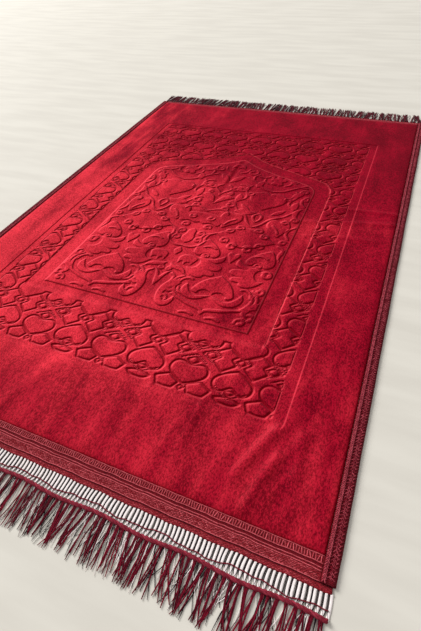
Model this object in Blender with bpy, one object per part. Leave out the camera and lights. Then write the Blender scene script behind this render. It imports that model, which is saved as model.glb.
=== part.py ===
"""A prayer rug that lies flat: a velvet panel with a pattern pressed into its pile, folded side
bindings, a woven heading at each end, and fringes. Units are metres, +Z is up, and +Y points to the
niche's end. The origin is the middle of the whole rug, fringes included, on the floor."""

import math
import random

import bmesh
import bpy
from mathutils import Vector

# ---- Driving dimensions ----
RUG_WIDTH = 0.800
VELVET_LENGTH = 1.126
VELVET_THICKNESS = 0.0048
EDGE_CHAMFER = 0.0012
GAP = 0.0003                     # left between pieces that touch

# The side binding: a tape folded round a thin tongue at the edge of the cloth
BINDING_WIDTH = 0.016
TAPE_BELOW = 0.0009
TAPE_OUTSIDE = 0.0014
TONGUE_THICKNESS = 0.0016
# Its upper side in section: distance from its inner edge, and height over the tongue's slot
TAPE_TOP = (
    (0.0000, 0.0012), (0.0022, 0.0019), (0.0046, 0.0012), (0.0090, 0.0016), (0.0140, 0.0012),
)
# Its outer edge: distance in from the rug's edge, and height over the floor
TAPE_EDGE = ((0.0004, 0.0034), (0.0000, 0.0020), (0.0005, 0.0007), (0.0018, 0.0000))

# The ends, outwards from the velvet's edge
HEADING_THICKNESS = 0.0026
STRIP_THICKNESS = 0.0022
STRIP_WIDTH = 0.0067
NEAR_HEADING_WIDTH = 0.0253
NEAR_HEADING_RIBS = 4
FAR_HEADING_WIDTH = 0.0087
STITCHED_WIDTH = 0.0082          # flat band under the stitches, at most half of a heading
GROOVE_WIDTH = 0.0034            # between that band and the ribs
LADDER_LENGTH = 0.0210           # bare warps between the near strip and the weft bundle
BUNDLE_WIDTH = 0.0045
NEAR_TUFT_LENGTH = 0.0560
FAR_TUFT_LENGTH = 0.0570
TUFT_LENGTH_SPREAD = 0.14        # the shortest tuft is this share shorter than the longest

# The pressed pattern: how far each part of it lies below the top of the pile
LATTICE_DEPTH = 0.0009
BAND_DEPTH = 0.0013
FIELD_DEPTH = 0.0006
FRAME_HALF_WIDTH = 0.298
FRAME_FAR_Y = 0.410
FRAME_NEAR_Y = -0.436
NICHE_HALF_WIDTH = 0.233
NICHE_NEAR_Y = -0.320
FIELD_HALF_WIDTH = 0.200
FIELD_NEAR_Y = -0.300
APEX_X = 0.004                   # the arch's point and the field's motifs sit this far off centre
LAP = 0.0005                     # neighbouring cutters overlap by this

# The lattice border: rows and columns of pads, counted from the first shield below the niche
LATTICE_PITCH_X = 0.0700
LATTICE_PITCH_Y = 0.0693
LATTICE_X = 0.0060
LATTICE_Y = -0.3945
LATTICE_COLUMNS = 4              # to each side of the first
LATTICE_ROWS = 12
LATTICE_MARGIN_X = 0.0160        # plain strip between the frame's line and the pads
LATTICE_MARGIN_Y = 0.0080
SHIELD_SIZE = (0.0280, 0.0240)   # half the width and height of each kind of pad
DIAMOND_SIZE = (0.0075, 0.0055)
VASE_SIZE = (0.0165, 0.0185)
VASE_X = 0.0225                  # from a diamond's middle to its vases'
ARCH_SLOPE = 0.36                # rough fall of the arch on each side of its point

# ---- Outlines ----
# Right half of the arch from shoulder to point: outer line x, y, then inner line x, y
ARCH = (
    (0.233, 0.140, 0.200, 0.138),
    (0.229, 0.163, 0.196, 0.153),
    (0.213, 0.186, 0.183, 0.166),
    (0.180, 0.201, 0.158, 0.177),
    (0.125, 0.219, 0.110, 0.193),
    (0.075, 0.238, 0.066, 0.210),
    (0.038, 0.258, 0.033, 0.227),
    (0.000, 0.284, 0.000, 0.251),
)

# Right half of each pad, from its tip to its notch: x and y as shares of half its width and height
SHIELD = ((0.00, -1.00), (0.86, -0.36), (1.00, 0.10), (0.68, 0.72), (0.26, 0.72), (0.00, 0.42))
DIAMOND = ((0.00, -1.00), (1.00, 0.00), (0.00, 1.00))
HEART = (
    (0.00, -1.00), (0.50, -0.52), (0.93, 0.02), (1.00, 0.46), (0.72, 0.90), (0.30, 0.96), (0.00, 0.62),
)
SPADE = (
    (0.00, 1.00), (0.22, 0.58), (0.78, 0.18), (1.00, -0.36), (0.82, -0.86), (0.36, -0.84), (0.00, -0.52),
)
PALMETTE = (
    (0.00, -1.00), (0.52, -0.86), (0.80, -0.42), (0.66, -0.12), (1.00, 0.26), (0.74, 0.74), (0.30, 0.88),
    (0.00, 1.00),
)

# Whole outlines without a mirror line, in the same shares
VASE = (
    (0.00, 1.00), (1.00, 0.45), (0.50, 0.00), (1.00, -0.45), (0.00, -1.00), (-0.68, -0.42), (-0.44, 0.00),
    (-0.68, 0.42),
)
WING = (
    (-1.00, 0.10), (-0.62, 0.72), (0.05, 1.00), (0.66, 0.84), (1.00, 0.30), (0.62, 0.22),
    (0.78, -0.34), (0.34, -0.20), (0.36, -0.86), (-0.12, -0.46), (-0.40, -1.00), (-0.74, -0.50),
)
LEAF = (
    (-1.00, 0.00), (-0.40, 0.70), (0.25, 0.92), (1.00, 0.10), (0.50, 0.00), (0.30, -0.62), (-0.40, -0.52),
)

# Motifs of the field, built on both sides of its axis:
# outline, x and y of its middle, half its width and height, its turn in degrees
FIELD_MOTIFS = (
    ("heart", 0.111, 0.076, 0.041, 0.036, 0.0),
    ("oval", 0.111, -0.062, 0.036, 0.033, 0.0),
    ("spade", 0.108, -0.212, 0.034, 0.030, 0.0),
    ("wing", 0.054, -0.152, 0.042, 0.030, 118.0),
    ("wing", 0.163, -0.152, 0.040, 0.026, 66.0),
    ("leaf", 0.044, 0.060, 0.036, 0.017, 74.0),
    ("leaf", 0.178, 0.034, 0.040, 0.013, 92.0),
    ("leaf", 0.060, 0.150, 0.040, 0.018, 128.0),
    ("leaf", 0.140, 0.138, 0.036, 0.015, 160.0),
    ("leaf", 0.036, -0.252, 0.034, 0.014, 104.0),
    ("leaf", 0.166, -0.268, 0.026, 0.011, 8.0),
)
MEDALLION = (0.0, -0.064, 0.040, 0.050)        # on the axis: x, y, half its width and height
OVAL_LOBES = 8
OVAL_DIP = 0.84                                # a scallop's dip, as a share of its radius

# Creases left by folding: along which axis it runs, its place on the other axis, half width, height
CREASES = (
    ("x", 0.090, 0.014, 0.0007),
    ("x", 0.005, 0.012, 0.0005),
    ("y", 0.004, 0.016, -0.0005),
)

# ---- Fringes ----
NEAR_TUFTS = 68
FAR_TUFTS = 63
LADDER_WARPS = 74
TUFT_SIZE = 0.0040               # width and height of a tuft at its root
WARP_SIZE = 0.0015
ROOT_HEIGHT = 0.0006             # roots leave their backing this far above the floor
WARP_HEIGHT = 0.0008
TIP_SHARE = 0.55                 # of a tuft's size, left at its tip
ROOT_LAP = 0.0015                # and start this far inside it
LEAN = 0.010                     # slow sideways lean of the tufts
LEAN_TURNS = 9.0                 # how fast the lean changes along the edge, in radians per metre
STRAY = 0.0016                   # each tuft's own lean on top
WARP_DRIFT = 0.0012
BUNDLE_WAVE = 0.0014
BUNDLE_WAVE_LENGTH = 0.115
BUNDLE_POINTS = 44

# ---- Worked out ----
HALF_WIDTH = RUG_WIDTH / 2
HALF_VELVET = VELVET_LENGTH / 2
BODY_HALF_WIDTH = HALF_WIDTH - BINDING_WIDTH - GAP      # where the full thickness ends
TONGUE_REACH = HALF_WIDTH - TAPE_OUTSIDE - GAP
SLOT_LOW = TAPE_BELOW
SLOT_HIGH = TAPE_BELOW + TONGUE_THICKNESS + 2 * GAP
NEAR_STRIP_START = HALF_VELVET + GAP + NEAR_HEADING_WIDTH + GAP
FAR_STRIP_START = HALF_VELVET + GAP + FAR_HEADING_WIDTH + GAP
NEAR_STRIP_END = NEAR_STRIP_START + STRIP_WIDTH
FAR_STRIP_END = FAR_STRIP_START + STRIP_WIDTH
BUNDLE_MIDDLE = NEAR_STRIP_END + LADDER_LENGTH + BUNDLE_WIDTH / 2
NEAR_REACH = BUNDLE_MIDDLE + NEAR_TUFT_LENGTH
FAR_REACH = FAR_STRIP_END + FAR_TUFT_LENGTH
CENTRE_Y = (NEAR_REACH - FAR_REACH) / 2                 # the velvet's middle, from the rug's
TALL = 0.020                                            # cutters stand this far clear of the cloth
NEAR_ENOUGH = 0.000002                                  # points this close count as one place


# ---- Scene, materials and small helpers ----
def clear_scene():
    for item in list(bpy.data.objects):
        bpy.data.objects.remove(item, do_unlink=True)


def new_collection(name):
    group = bpy.data.collections.new(name)
    bpy.context.scene.collection.children.link(group)
    return group


def material(name, colour, roughness):
    made = bpy.data.materials.new(name)
    made.use_nodes = True
    shader = made.node_tree.nodes["Principled BSDF"]
    shader.inputs["Base Color"].default_value = (*colour, 1.0)
    shader.inputs["Roughness"].default_value = roughness
    shader.inputs["Metallic"].default_value = 0.0
    made.diffuse_color = (*colour, 1.0)
    return made


def link(item, group, finish=None):
    for holder in list(item.users_collection):
        holder.objects.unlink(item)
    group.objects.link(item)
    if finish:
        item.data.materials.clear()
        item.data.materials.append(finish)
    return item


def guide(item, group):
    """Keep a cutter or a piece that is joined into another out of the model."""
    item.hide_render = True
    item.display_type = "WIRE"
    return link(item, group)


def box(name, low, high):
    bpy.ops.mesh.primitive_cube_add(size=1.0)
    item = bpy.context.active_object
    item.name = name
    low, high = Vector(low), Vector(high)
    for vertex in item.data.vertices:
        vertex.co = (low + high) / 2 + Vector(a * b for a, b in zip(vertex.co, high - low))
    return item


def as_mesh(curve_item):
    """A curve's mesh as a new object, with its caps welded on."""
    bpy.context.view_layer.update()
    evaluated = curve_item.evaluated_get(bpy.context.evaluated_depsgraph_get())
    mesh = bpy.data.meshes.new_from_object(evaluated)
    work = bmesh.new()
    work.from_mesh(mesh)
    bmesh.ops.remove_doubles(work, verts=work.verts, dist=NEAR_ENOUGH)
    bmesh.ops.recalc_face_normals(work, faces=work.faces)
    work.to_mesh(mesh)
    work.free()
    item = bpy.data.objects.new(curve_item.name, mesh)
    item.matrix_world = curve_item.matrix_world
    name = curve_item.name
    bpy.data.objects.remove(curve_item, do_unlink=True)
    item.name = name
    bpy.context.scene.collection.objects.link(item)
    return item


def new_curve(name, loops, closed, dimensions):
    """A curve of straight runs: each loop is a list of (x, y, z) or (x, y, z, radius)."""
    data = bpy.data.curves.new(name, "CURVE")
    data.dimensions = dimensions
    for loop in loops:
        spline = data.splines.new("POLY")
        spline.points.add(len(loop) - 1)
        for point, place in zip(spline.points, loop):
            point.co = (*place[:3], 1.0)
            point.radius = place[3] if len(place) > 3 else 1.0
        spline.use_cyclic_u = closed
    item = bpy.data.objects.new(name, data)
    bpy.context.scene.collection.objects.link(item)
    return item


def plate(name, outlines, low, high):
    """Flat outlines in X and Y made solid between two heights."""
    loops = [[(x, y, 0.0) for x, y in outline] for outline in outlines]
    item = new_curve(name, loops, True, "2D")
    item.data.fill_mode = "BOTH"
    item.data.extrude = (high - low) / 2
    item.location.z = (low + high) / 2
    return as_mesh(item)


def bar(name, section, start, end, along):
    """A section extruded along X or Y; its points are (across, height)."""
    item = new_curve(name, [[(a, b, 0.0) for a, b in section]], True, "2D")
    item.data.fill_mode = "BOTH"
    item.data.extrude = (end - start) / 2
    middle = (start + end) / 2
    if along == "Y":
        item.rotation_euler = (math.pi / 2, 0.0, 0.0)
        item.location = (0.0, middle, 0.0)
    else:
        item.rotation_euler = (math.pi / 2, 0.0, math.pi / 2)
        item.location = (middle, 0.0, 0.0)
    return as_mesh(item)


def boolean(item, tool, operation):
    step = item.modifiers.new(f"{operation.lower()} {tool.name}", "BOOLEAN")
    step.object = tool
    step.operation = operation
    step.solver = "EXACT"


def settle(item):
    """Replace an object's mesh by its evaluated one, so that points can be moved after a Boolean."""
    bpy.context.view_layer.update()
    evaluated = item.evaluated_get(bpy.context.evaluated_depsgraph_get())
    mesh = bpy.data.meshes.new_from_object(evaluated)
    item.modifiers.clear()
    item.data = mesh


# ---- Outlines of the pattern, from the velvet's middle ----
def mirrored(half):
    """A whole outline from its right half."""
    inner = [(-x, y) for x, y in reversed(half) if x > 0]
    return list(half) + inner


def placed(shape, x, y, half_width, half_height, turn=0.0, side=1):
    """An outline in shares of a size, scaled, turned, and mirrored where side is -1."""
    cos, sin = math.cos(math.radians(turn)), math.sin(math.radians(turn))
    points = []
    for across, along in shape:
        a, b = across * half_width, along * half_height
        points.append((side * (x + a * cos - b * sin), y + a * sin + b * cos))
    return points


def oval():
    """A scalloped oval: the radius dips between its lobes."""
    steps = 2 * OVAL_LOBES
    radii = [OVAL_DIP if step % 2 else 1.0 for step in range(steps)]
    turns = [2 * math.pi * step / steps for step in range(steps)]
    return [(r * math.cos(t), r * math.sin(t)) for r, t in zip(radii, turns)]


OUTLINES = {
    "heart": mirrored(HEART),
    "spade": mirrored(SPADE),
    "oval": oval(),
    "wing": WING,
    "leaf": LEAF,
}


def niche_outline(line, half_width, near_y, grow=0.0):
    """The niche's outer (0) or inner (1) line, with its point moved off centre."""
    half = [(row[2 * line], row[2 * line + 1]) for row in ARCH]
    right = [(x + grow, y + grow) for x, y in half]
    left = [(-x - grow, y + grow) for x, y in reversed(half[:-1])]
    points = [(half_width + grow, near_y - grow)] + right + left + [(-half_width - grow, near_y - grow)]
    return [(x + APEX_X * (1 - abs(x) / (half_width + grow)) if y > 0 else x, y) for x, y in points]


def inside_niche(x, y):
    """Whether a pad there would lie wholly inside the niche's line."""
    reach = LATTICE_PITCH_X / 2
    arch_top = ARCH[-1][1] - ARCH_SLOPE * abs(x)
    return abs(x) < NICHE_HALF_WIDTH - reach and NICHE_NEAR_Y + reach < y < arch_top - reach


def lattice_pads():
    """Shields that point up and down by turns, small diamonds at their tips, and a vase to each
    side of every diamond."""
    pads = []
    for column in range(-LATTICE_COLUMNS, LATTICE_COLUMNS + 1):
        for row in range(-1, LATTICE_ROWS):
            x = LATTICE_X + column * LATTICE_PITCH_X
            y = LATTICE_Y + row * LATTICE_PITCH_Y
            above = y + LATTICE_PITCH_Y / 2
            tip_up = (column + row) % 2
            if row >= 0 and not inside_niche(x, y):
                flip = -1.0 if tip_up else 1.0
                shield = placed(mirrored(SHIELD), 0.0, 0.0, *SHIELD_SIZE)
                pads.append([(x + a, y + flip * b) for a, b in shield])
            if tip_up and not inside_niche(x, above):
                pads.append(placed(mirrored(DIAMOND), x, above, *DIAMOND_SIZE))
                for side in (-1, 1):
                    vase = placed(VASE, VASE_X, 0.0, *VASE_SIZE)
                    pads.append([(x + side * a, above + b) for a, b in vase])
    return pads


def field_pads():
    pads = [placed(mirrored(PALMETTE), MEDALLION[0] + APEX_X, *MEDALLION[1:])]
    for shape, x, y, half_width, half_height, turn in FIELD_MOTIFS:
        for side in (-1, 1):
            motif = placed(OUTLINES[shape], x, y, half_width, half_height, turn, side)
            pads.append([(a + APEX_X, b) for a, b in motif])
    return pads


# ---- Pieces ----
def rebate_cutter(group):
    """Four bars that thin the long edges of the cloth to the tongue held in the binding."""
    reach = HALF_WIDTH + 0.010
    span = VELVET_LENGTH
    work = bmesh.new()
    for side in (-1, 1):
        for low, high in ((-TALL, TAPE_BELOW + GAP), (TAPE_BELOW + GAP + TONGUE_THICKNESS, TALL)):
            made = bmesh.ops.create_cube(work, size=1.0)["verts"]
            size = Vector((reach - BODY_HALF_WIDTH, 2 * span, high - low))
            middle = Vector((side * (reach + BODY_HALF_WIDTH) / 2, 0.0, (high + low) / 2))
            for vertex in made:
                vertex.co = middle + Vector(a * b for a, b in zip(vertex.co, size))
    mesh = bpy.data.meshes.new("rebates")
    work.to_mesh(mesh)
    work.free()
    return guide(bpy.data.objects.new("rebates", mesh), group)


def shift_to_rug(item):
    """Move a mesh from the velvet's own middle to the rug's."""
    item.location.y += CENTRE_Y
    return item


def chamfer_ends(item):
    """Slope the top edges at the two ends of the pile."""
    work = bmesh.new()
    work.from_mesh(item.data)
    edges = []
    for edge in work.edges:
        first, second = edge.verts[0].co, edge.verts[1].co
        if min(first.z, second.z) > VELVET_THICKNESS / 2 and abs(first.y - second.y) < NEAR_ENOUGH:
            edges.append(edge)
    bmesh.ops.bevel(work, geom=edges, offset=EDGE_CHAMFER, segments=1, affect="EDGES")
    work.to_mesh(item.data)
    work.free()


def tent(distance, half_width):
    return max(0.0, 1.0 - abs(distance) / half_width)


def press_creases(item):
    """Split the faces along each crease's middle and sides, then lift or lower the top points."""
    work = bmesh.new()
    work.from_mesh(item.data)
    for runs_along, place, half_width, _ in CREASES:
        across = Vector((0, 1, 0)) if runs_along == "x" else Vector((1, 0, 0))
        for step in (-1, 0, 1):
            everything = list(work.verts) + list(work.edges) + list(work.faces)
            cut = across * (place + step * half_width)
            bmesh.ops.bisect_plane(work, geom=everything, dist=NEAR_ENOUGH, plane_co=cut, plane_no=across)
    bmesh.ops.triangulate(work, faces=work.faces)
    floor_of_pattern = VELVET_THICKNESS - BAND_DEPTH - NEAR_ENOUGH
    for vertex in work.verts:
        if vertex.co.z > floor_of_pattern and abs(vertex.co.x) < BODY_HALF_WIDTH + GAP:
            for runs_along, place, half_width, height in CREASES:
                distance = (vertex.co.y if runs_along == "x" else vertex.co.x) - place
                vertex.co.z += height * tent(distance, half_width)
    work.to_mesh(item.data)
    work.free()


def build_velvet_panel(group, cutters, rebates, finish):
    corner = (TONGUE_REACH, HALF_VELVET, VELVET_THICKNESS)
    panel = box("velvet_panel", (-TONGUE_REACH, -HALF_VELVET, 0.0), corner)
    chamfer_ends(panel)
    clear = VELVET_THICKNESS + TALL
    frame = [
        (FRAME_HALF_WIDTH, FRAME_NEAR_Y), (FRAME_HALF_WIDTH, FRAME_FAR_Y),
        (-FRAME_HALF_WIDTH, FRAME_FAR_Y), (-FRAME_HALF_WIDTH, FRAME_NEAR_Y),
    ]
    outer = niche_outline(0, NICHE_HALF_WIDTH, NICHE_NEAR_Y)
    inner = niche_outline(1, FIELD_HALF_WIDTH, FIELD_NEAR_Y)
    window_half, window_far = FRAME_HALF_WIDTH - LATTICE_MARGIN_X, FRAME_FAR_Y - LATTICE_MARGIN_Y
    window = [
        (window_half, FRAME_NEAR_Y + LAP), (window_half, window_far),
        (-window_half, window_far), (-window_half, FRAME_NEAR_Y + LAP),
    ]
    block = niche_outline(0, NICHE_HALF_WIDTH, NICHE_NEAR_Y, -LAP)

    # the lattice border: a sunk frame round the niche, less the pads that stand in its window
    lattice = guide(plate("lattice_recess", [frame], VELVET_THICKNESS - LATTICE_DEPTH, clear), cutters)
    middle = guide(plate("niche_block", [block], -TALL, 2 * clear), cutters)
    pads = guide(plate("lattice_pads", lattice_pads(), -TALL / 2, 1.5 * clear), cutters)
    view = guide(plate("lattice_window", [window], -TALL, 2 * clear), cutters)
    boolean(pads, view, "INTERSECT")
    boolean(lattice, middle, "DIFFERENCE")
    boolean(lattice, pads, "DIFFERENCE")

    # the plain band inside the niche's outer line
    band = guide(plate("niche_band", [outer], VELVET_THICKNESS - BAND_DEPTH, clear), cutters)
    hole = guide(plate("field_block", [inner], -TALL, 2 * clear), cutters)
    boolean(band, hole, "DIFFERENCE")

    # the field's floor, less its motifs
    grown = niche_outline(1, FIELD_HALF_WIDTH, FIELD_NEAR_Y, LAP)
    field = guide(plate("field_recess", [grown], VELVET_THICKNESS - FIELD_DEPTH, clear), cutters)
    motifs = guide(plate("field_motifs", field_pads(), -TALL, 2 * clear), cutters)
    boolean(field, motifs, "DIFFERENCE")

    for cutter in (rebates, lattice, band, field):
        boolean(panel, cutter, "DIFFERENCE")
    settle(panel)
    press_creases(panel)
    return link(shift_to_rug(panel), group, finish)


def build_binding(name, side, group, finish):
    """The folded tape in section: a cord-like inner ridge, a crowned band, and a round outer edge."""
    inner, wall = HALF_WIDTH - BINDING_WIDTH, HALF_WIDTH - TAPE_OUTSIDE
    section = [(inner, SLOT_HIGH)]
    section += [(inner + x, SLOT_HIGH + z) for x, z in TAPE_TOP]
    section += [(HALF_WIDTH - x, z) for x, z in TAPE_EDGE]
    section += [(inner, 0.0), (inner, SLOT_LOW), (wall, SLOT_LOW), (wall, SLOT_HIGH)]
    near = -(HALF_VELVET + GAP + NEAR_HEADING_WIDTH)
    far = HALF_VELVET + GAP + FAR_HEADING_WIDTH
    item = bar(name, [(side * x, z) for x, z in section], near, far, "Y")
    return link(shift_to_rug(item), group, finish)


def heading_section(width, ribs):
    """Height over distance from the velvet's edge: a flat stitched band, a groove, then ribs."""
    stitched = min(STITCHED_WIDTH, width / 2)
    slope = GROOVE_WIDTH / 5
    top = [(0.0, HEADING_THICKNESS), (stitched, HEADING_THICKNESS), (stitched + slope, STRIP_THICKNESS)]
    for rib in range(ribs):
        pitch = (width - stitched - GROOVE_WIDTH) / ribs
        left = stitched + GROOVE_WIDTH + rib * pitch
        top += [(left, STRIP_THICKNESS)]
        top += [(left + pitch / 4, HEADING_THICKNESS), (left + 3 * pitch / 4, HEADING_THICKNESS)]
    section = top + [(width, STRIP_THICKNESS), (width, 0.0), (0.0, 0.0)]
    return [(HALF_VELVET + GAP + y, z) for y, z in section]


def build_heading(name, side, width, ribs, group, rebates, finish):
    section = [(side * y, z) for y, z in heading_section(width, ribs)]
    item = bar(name, section, -TONGUE_REACH, TONGUE_REACH, "X")
    boolean(item, rebates, "DIFFERENCE")
    settle(item)
    return link(shift_to_rug(item), group, finish)


def flat_profile(size, group):
    """A square section that rests on the floor, for curves whose points lie on it."""
    half = size / 2
    corners = [(-half, 0.0, 0.0), (half, 0.0, 0.0), (0.8 * half, size, 0.0), (-0.8 * half, size, 0.0)]
    item = new_curve(f"profile_{round(size * 10000)}", [corners], True, "2D")
    return guide(item, group)


def strands(name, runs, size, cutters):
    """Tapered strands with a flat underside: each run is a list of (x, y, z, share of size)."""
    item = new_curve(name, runs, False, "3D")
    item.data.bevel_mode = "OBJECT"
    item.data.bevel_object = flat_profile(size, cutters)
    item.data.use_fill_caps = True
    item.data.twist_mode = "Z_UP"
    return guide(as_mesh(item), cutters)


def tuft_runs(count, root, side, length, seed):
    """Tufts side by side: a slow common lean, each tuft's own small stray, and uneven lengths, with
    the full length on every ninth. The lean dies away towards the rug's corners."""
    chance = random.Random(seed)
    pitch = (RUG_WIDTH - 2 * TUFT_SIZE) / (count - 1)
    runs = []
    for number in range(count):
        x = -HALF_WIDTH + TUFT_SIZE + number * pitch
        calm = min(1.0, (HALF_WIDTH - abs(x)) / (3 * LEAN))
        lean = calm * (LEAN * math.sin(LEAN_TURNS * x + seed) + STRAY * chance.uniform(-1, 1))
        bend = calm * STRAY * chance.uniform(-1, 1)
        reach = length if number % 9 == 4 else length * (1.0 - TUFT_LENGTH_SPREAD * chance.random())
        runs.append([
            (x, side * (root - ROOT_LAP), ROOT_HEIGHT, 1.0),
            (x + 0.12 * lean, side * (root + 0.20 * reach), 0.0, 1.0),
            (x + 0.50 * lean + bend, side * (root + 0.60 * reach), 0.0, 0.85),
            (x + lean, side * (root + reach), 0.0, TIP_SHARE),
        ])
    return runs


def ladder_runs():
    """Bare warps from the near strip into the weft bundle, a little askew."""
    chance = random.Random(3)
    pitch = (RUG_WIDTH - 2 * WARP_SIZE) / (LADDER_WARPS - 1)
    runs = []
    for number in range(LADDER_WARPS):
        x = -HALF_WIDTH + WARP_SIZE + number * pitch
        drift = WARP_DRIFT * chance.uniform(-1, 1) if 0 < number < LADDER_WARPS - 1 else 0.0
        start, end = NEAR_STRIP_END - ROOT_LAP, BUNDLE_MIDDLE
        runs.append([(x, -start, WARP_HEIGHT, 1.0), (x + drift, -end, WARP_HEIGHT, 1.0)])
    return runs


def bundle_run():
    """The loose weft bundle wanders slowly in and out along the ladder's outer end."""
    reach = HALF_WIDTH - WARP_SIZE / 2
    run = []
    for step in range(BUNDLE_POINTS):
        x = reach * (2 * step / (BUNDLE_POINTS - 1) - 1)
        wave = BUNDLE_WAVE * math.sin(2 * math.pi * x / BUNDLE_WAVE_LENGTH)
        run.append((x, -(BUNDLE_MIDDLE + wave), 0.0, 1.0))
    return run


def build_fringe(name, side, start, end, joined, group, finish):
    low, high = sorted((side * start, side * end))
    strip = box(name, (-HALF_WIDTH, low, 0.0), (HALF_WIDTH, high, STRIP_THICKNESS))
    for tool in joined:
        boolean(strip, tool, "UNION")
    settle(strip)
    return link(shift_to_rug(strip), group, finish)


def main():
    clear_scene()
    rug = new_collection("prayer_rug")
    cutters = new_collection("cutters")
    velvet = material("crimson_velvet", (0.45, 0.012, 0.030), 0.75)
    tape = material("maroon_binding", (0.20, 0.020, 0.035), 0.80)
    weave = material("mauve_heading", (0.33, 0.050, 0.075), 0.85)
    yarn = material("fringe_yarn", (0.16, 0.015, 0.025), 0.90)

    rebates = rebate_cutter(cutters)
    build_velvet_panel(rug, cutters, rebates, velvet)
    build_binding("binding_left", -1, rug, tape)
    build_binding("binding_right", 1, rug, tape)
    build_heading("heading_near", -1, NEAR_HEADING_WIDTH, NEAR_HEADING_RIBS, rug, rebates, weave)
    build_heading("heading_far", 1, FAR_HEADING_WIDTH, 0, rug, rebates, weave)

    bundle = strands("weft_bundle", [bundle_run()], BUNDLE_WIDTH, cutters)
    ladder = strands("ladder_warps", ladder_runs(), WARP_SIZE, cutters)
    near_runs = tuft_runs(NEAR_TUFTS, BUNDLE_MIDDLE, -1, NEAR_TUFT_LENGTH, 5)
    far_runs = tuft_runs(FAR_TUFTS, FAR_STRIP_END, 1, FAR_TUFT_LENGTH, 8)
    near = strands("near_tufts", near_runs, TUFT_SIZE, cutters)
    far = strands("far_tufts", far_runs, TUFT_SIZE, cutters)
    build_fringe("fringe_near", -1, NEAR_STRIP_START, NEAR_STRIP_END, (ladder, bundle, near), rug, yarn)
    build_fringe("fringe_far", 1, FAR_STRIP_START, FAR_STRIP_END, (far,), rug, yarn)


main()
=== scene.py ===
import bpy
import numpy as np
from mathutils import Matrix


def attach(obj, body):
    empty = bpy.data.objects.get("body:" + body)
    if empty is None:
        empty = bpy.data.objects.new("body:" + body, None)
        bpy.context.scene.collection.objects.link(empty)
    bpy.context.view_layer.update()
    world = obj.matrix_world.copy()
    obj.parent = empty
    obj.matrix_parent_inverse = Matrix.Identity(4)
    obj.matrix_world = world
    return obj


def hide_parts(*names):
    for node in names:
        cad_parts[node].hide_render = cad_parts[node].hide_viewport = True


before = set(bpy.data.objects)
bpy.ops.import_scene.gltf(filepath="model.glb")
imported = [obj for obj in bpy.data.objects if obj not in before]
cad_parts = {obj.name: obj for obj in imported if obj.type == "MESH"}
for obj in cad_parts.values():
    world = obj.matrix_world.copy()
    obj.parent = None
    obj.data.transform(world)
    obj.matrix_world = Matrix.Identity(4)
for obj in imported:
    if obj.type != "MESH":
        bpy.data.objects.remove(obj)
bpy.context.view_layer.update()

# Tables and functions work in millimetres from the velvet's middle, x to the right and y towards the
# pointed end.
velvetMiddle = 19.425  # how far the velvet's middle lies along the rug's own frame


# smooth step: t t (3 - 2 t), with t running from 0 at low to 1 at high
def step(value, low, high):
    t = np.clip((value - low) / (high - low), 0, 1)
    return t * t * (3 - 2 * t)


# gentle unevenness: three sines, each with its share of the wavelength, of the height and of the phase
sineShares = ((1.0, 1.0, 1.0), (0.43, 0.5, 2.3), (0.19, 0.22, 4.1))


# the sum of the three sines over 1.72, the sum of their heights
def waver(along, wavelength, phase=0.0):
    turn = 2 * np.pi * along / wavelength
    return sum(high * np.sin(turn / short + ahead * phase) for short, high, ahead in sineShares) / 1.72


# stops along a side: between each two breaks the spacing is as near to the pitch as divides evenly
def gridLine(breaks, pitches):
    parts = []
    for start, end, pitch in zip(breaks[:-1], breaks[1:], pitches):
        parts.append(np.linspace(start, end, max(1, round((end - start) / pitch)), endpoint=False))
    return np.append(np.concatenate(parts), breaks[-1])


# a curve through the points, each stretch from b to c being (2b + (c - a) t + (2a - 5b + 4c - d) t t
# + (3b - a - 3c + d) t t t) / 2; a point given twice is a corner
def smoothPath(points, closed=False, steps=5):
    stops = [np.array(p, float) for p in points]
    if closed:
        stops.append(stops[0])
    runs, run = [], [stops[0]]
    for stop in stops[1:]:
        if np.allclose(stop, run[-1]):
            if len(run) > 1:
                runs.append(run)
            run = [stop]
        else:
            run.append(stop)
    if len(run) > 1:
        runs.append(run)
    loop = closed and len(runs) == 1 and not np.allclose(points[0], points[-1])
    out = []
    t = np.linspace(0, 1, steps, endpoint=False)[:, None]
    for run in runs:
        r = np.array(run)
        ends = (r[-2], r[1]) if loop else (2 * r[0] - r[1], 2 * r[-1] - r[-2])
        r = np.vstack([ends[0], r, ends[1]])
        for a, b, c, d in zip(r[:-3], r[1:-2], r[2:-1], r[3:]):
            bent = 2 * b + (c - a) * t + (2 * a - 5 * b + 4 * c - d) * t**2 + (3 * b - a - 3 * c + d) * t**3
            out.append(0.5 * bent)
        out.append(run[-1][None])
    return np.vstack(out)


# a symmetric outline from its right half: the half, then the same points at -x in the other order
def mirroredPath(half, steps=4):
    return smoothPath(half + [(-x, y) for x, y in half[::-1]], True, steps)


# a spiral stroke: centre + r(t) (cos a(t), sin a(t)), radius and angle both even in t
def curl(centreX, centreY, startRadius, endRadius, startAngle, endAngle):
    t = np.linspace(0, 1, 18)
    a = np.radians(startAngle + (endAngle - startAngle) * t)
    r = startRadius + (endRadius - startRadius) * t
    return np.stack([centreX + r * np.cos(a), centreY + r * np.sin(a)], 1)


# half widths along a stroke, even from start to middle and from middle to end
def taper(count, start, middle, end):
    return np.interp(np.linspace(0, 1, count), [0, 0.5, 1], [start, middle, end])


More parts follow.
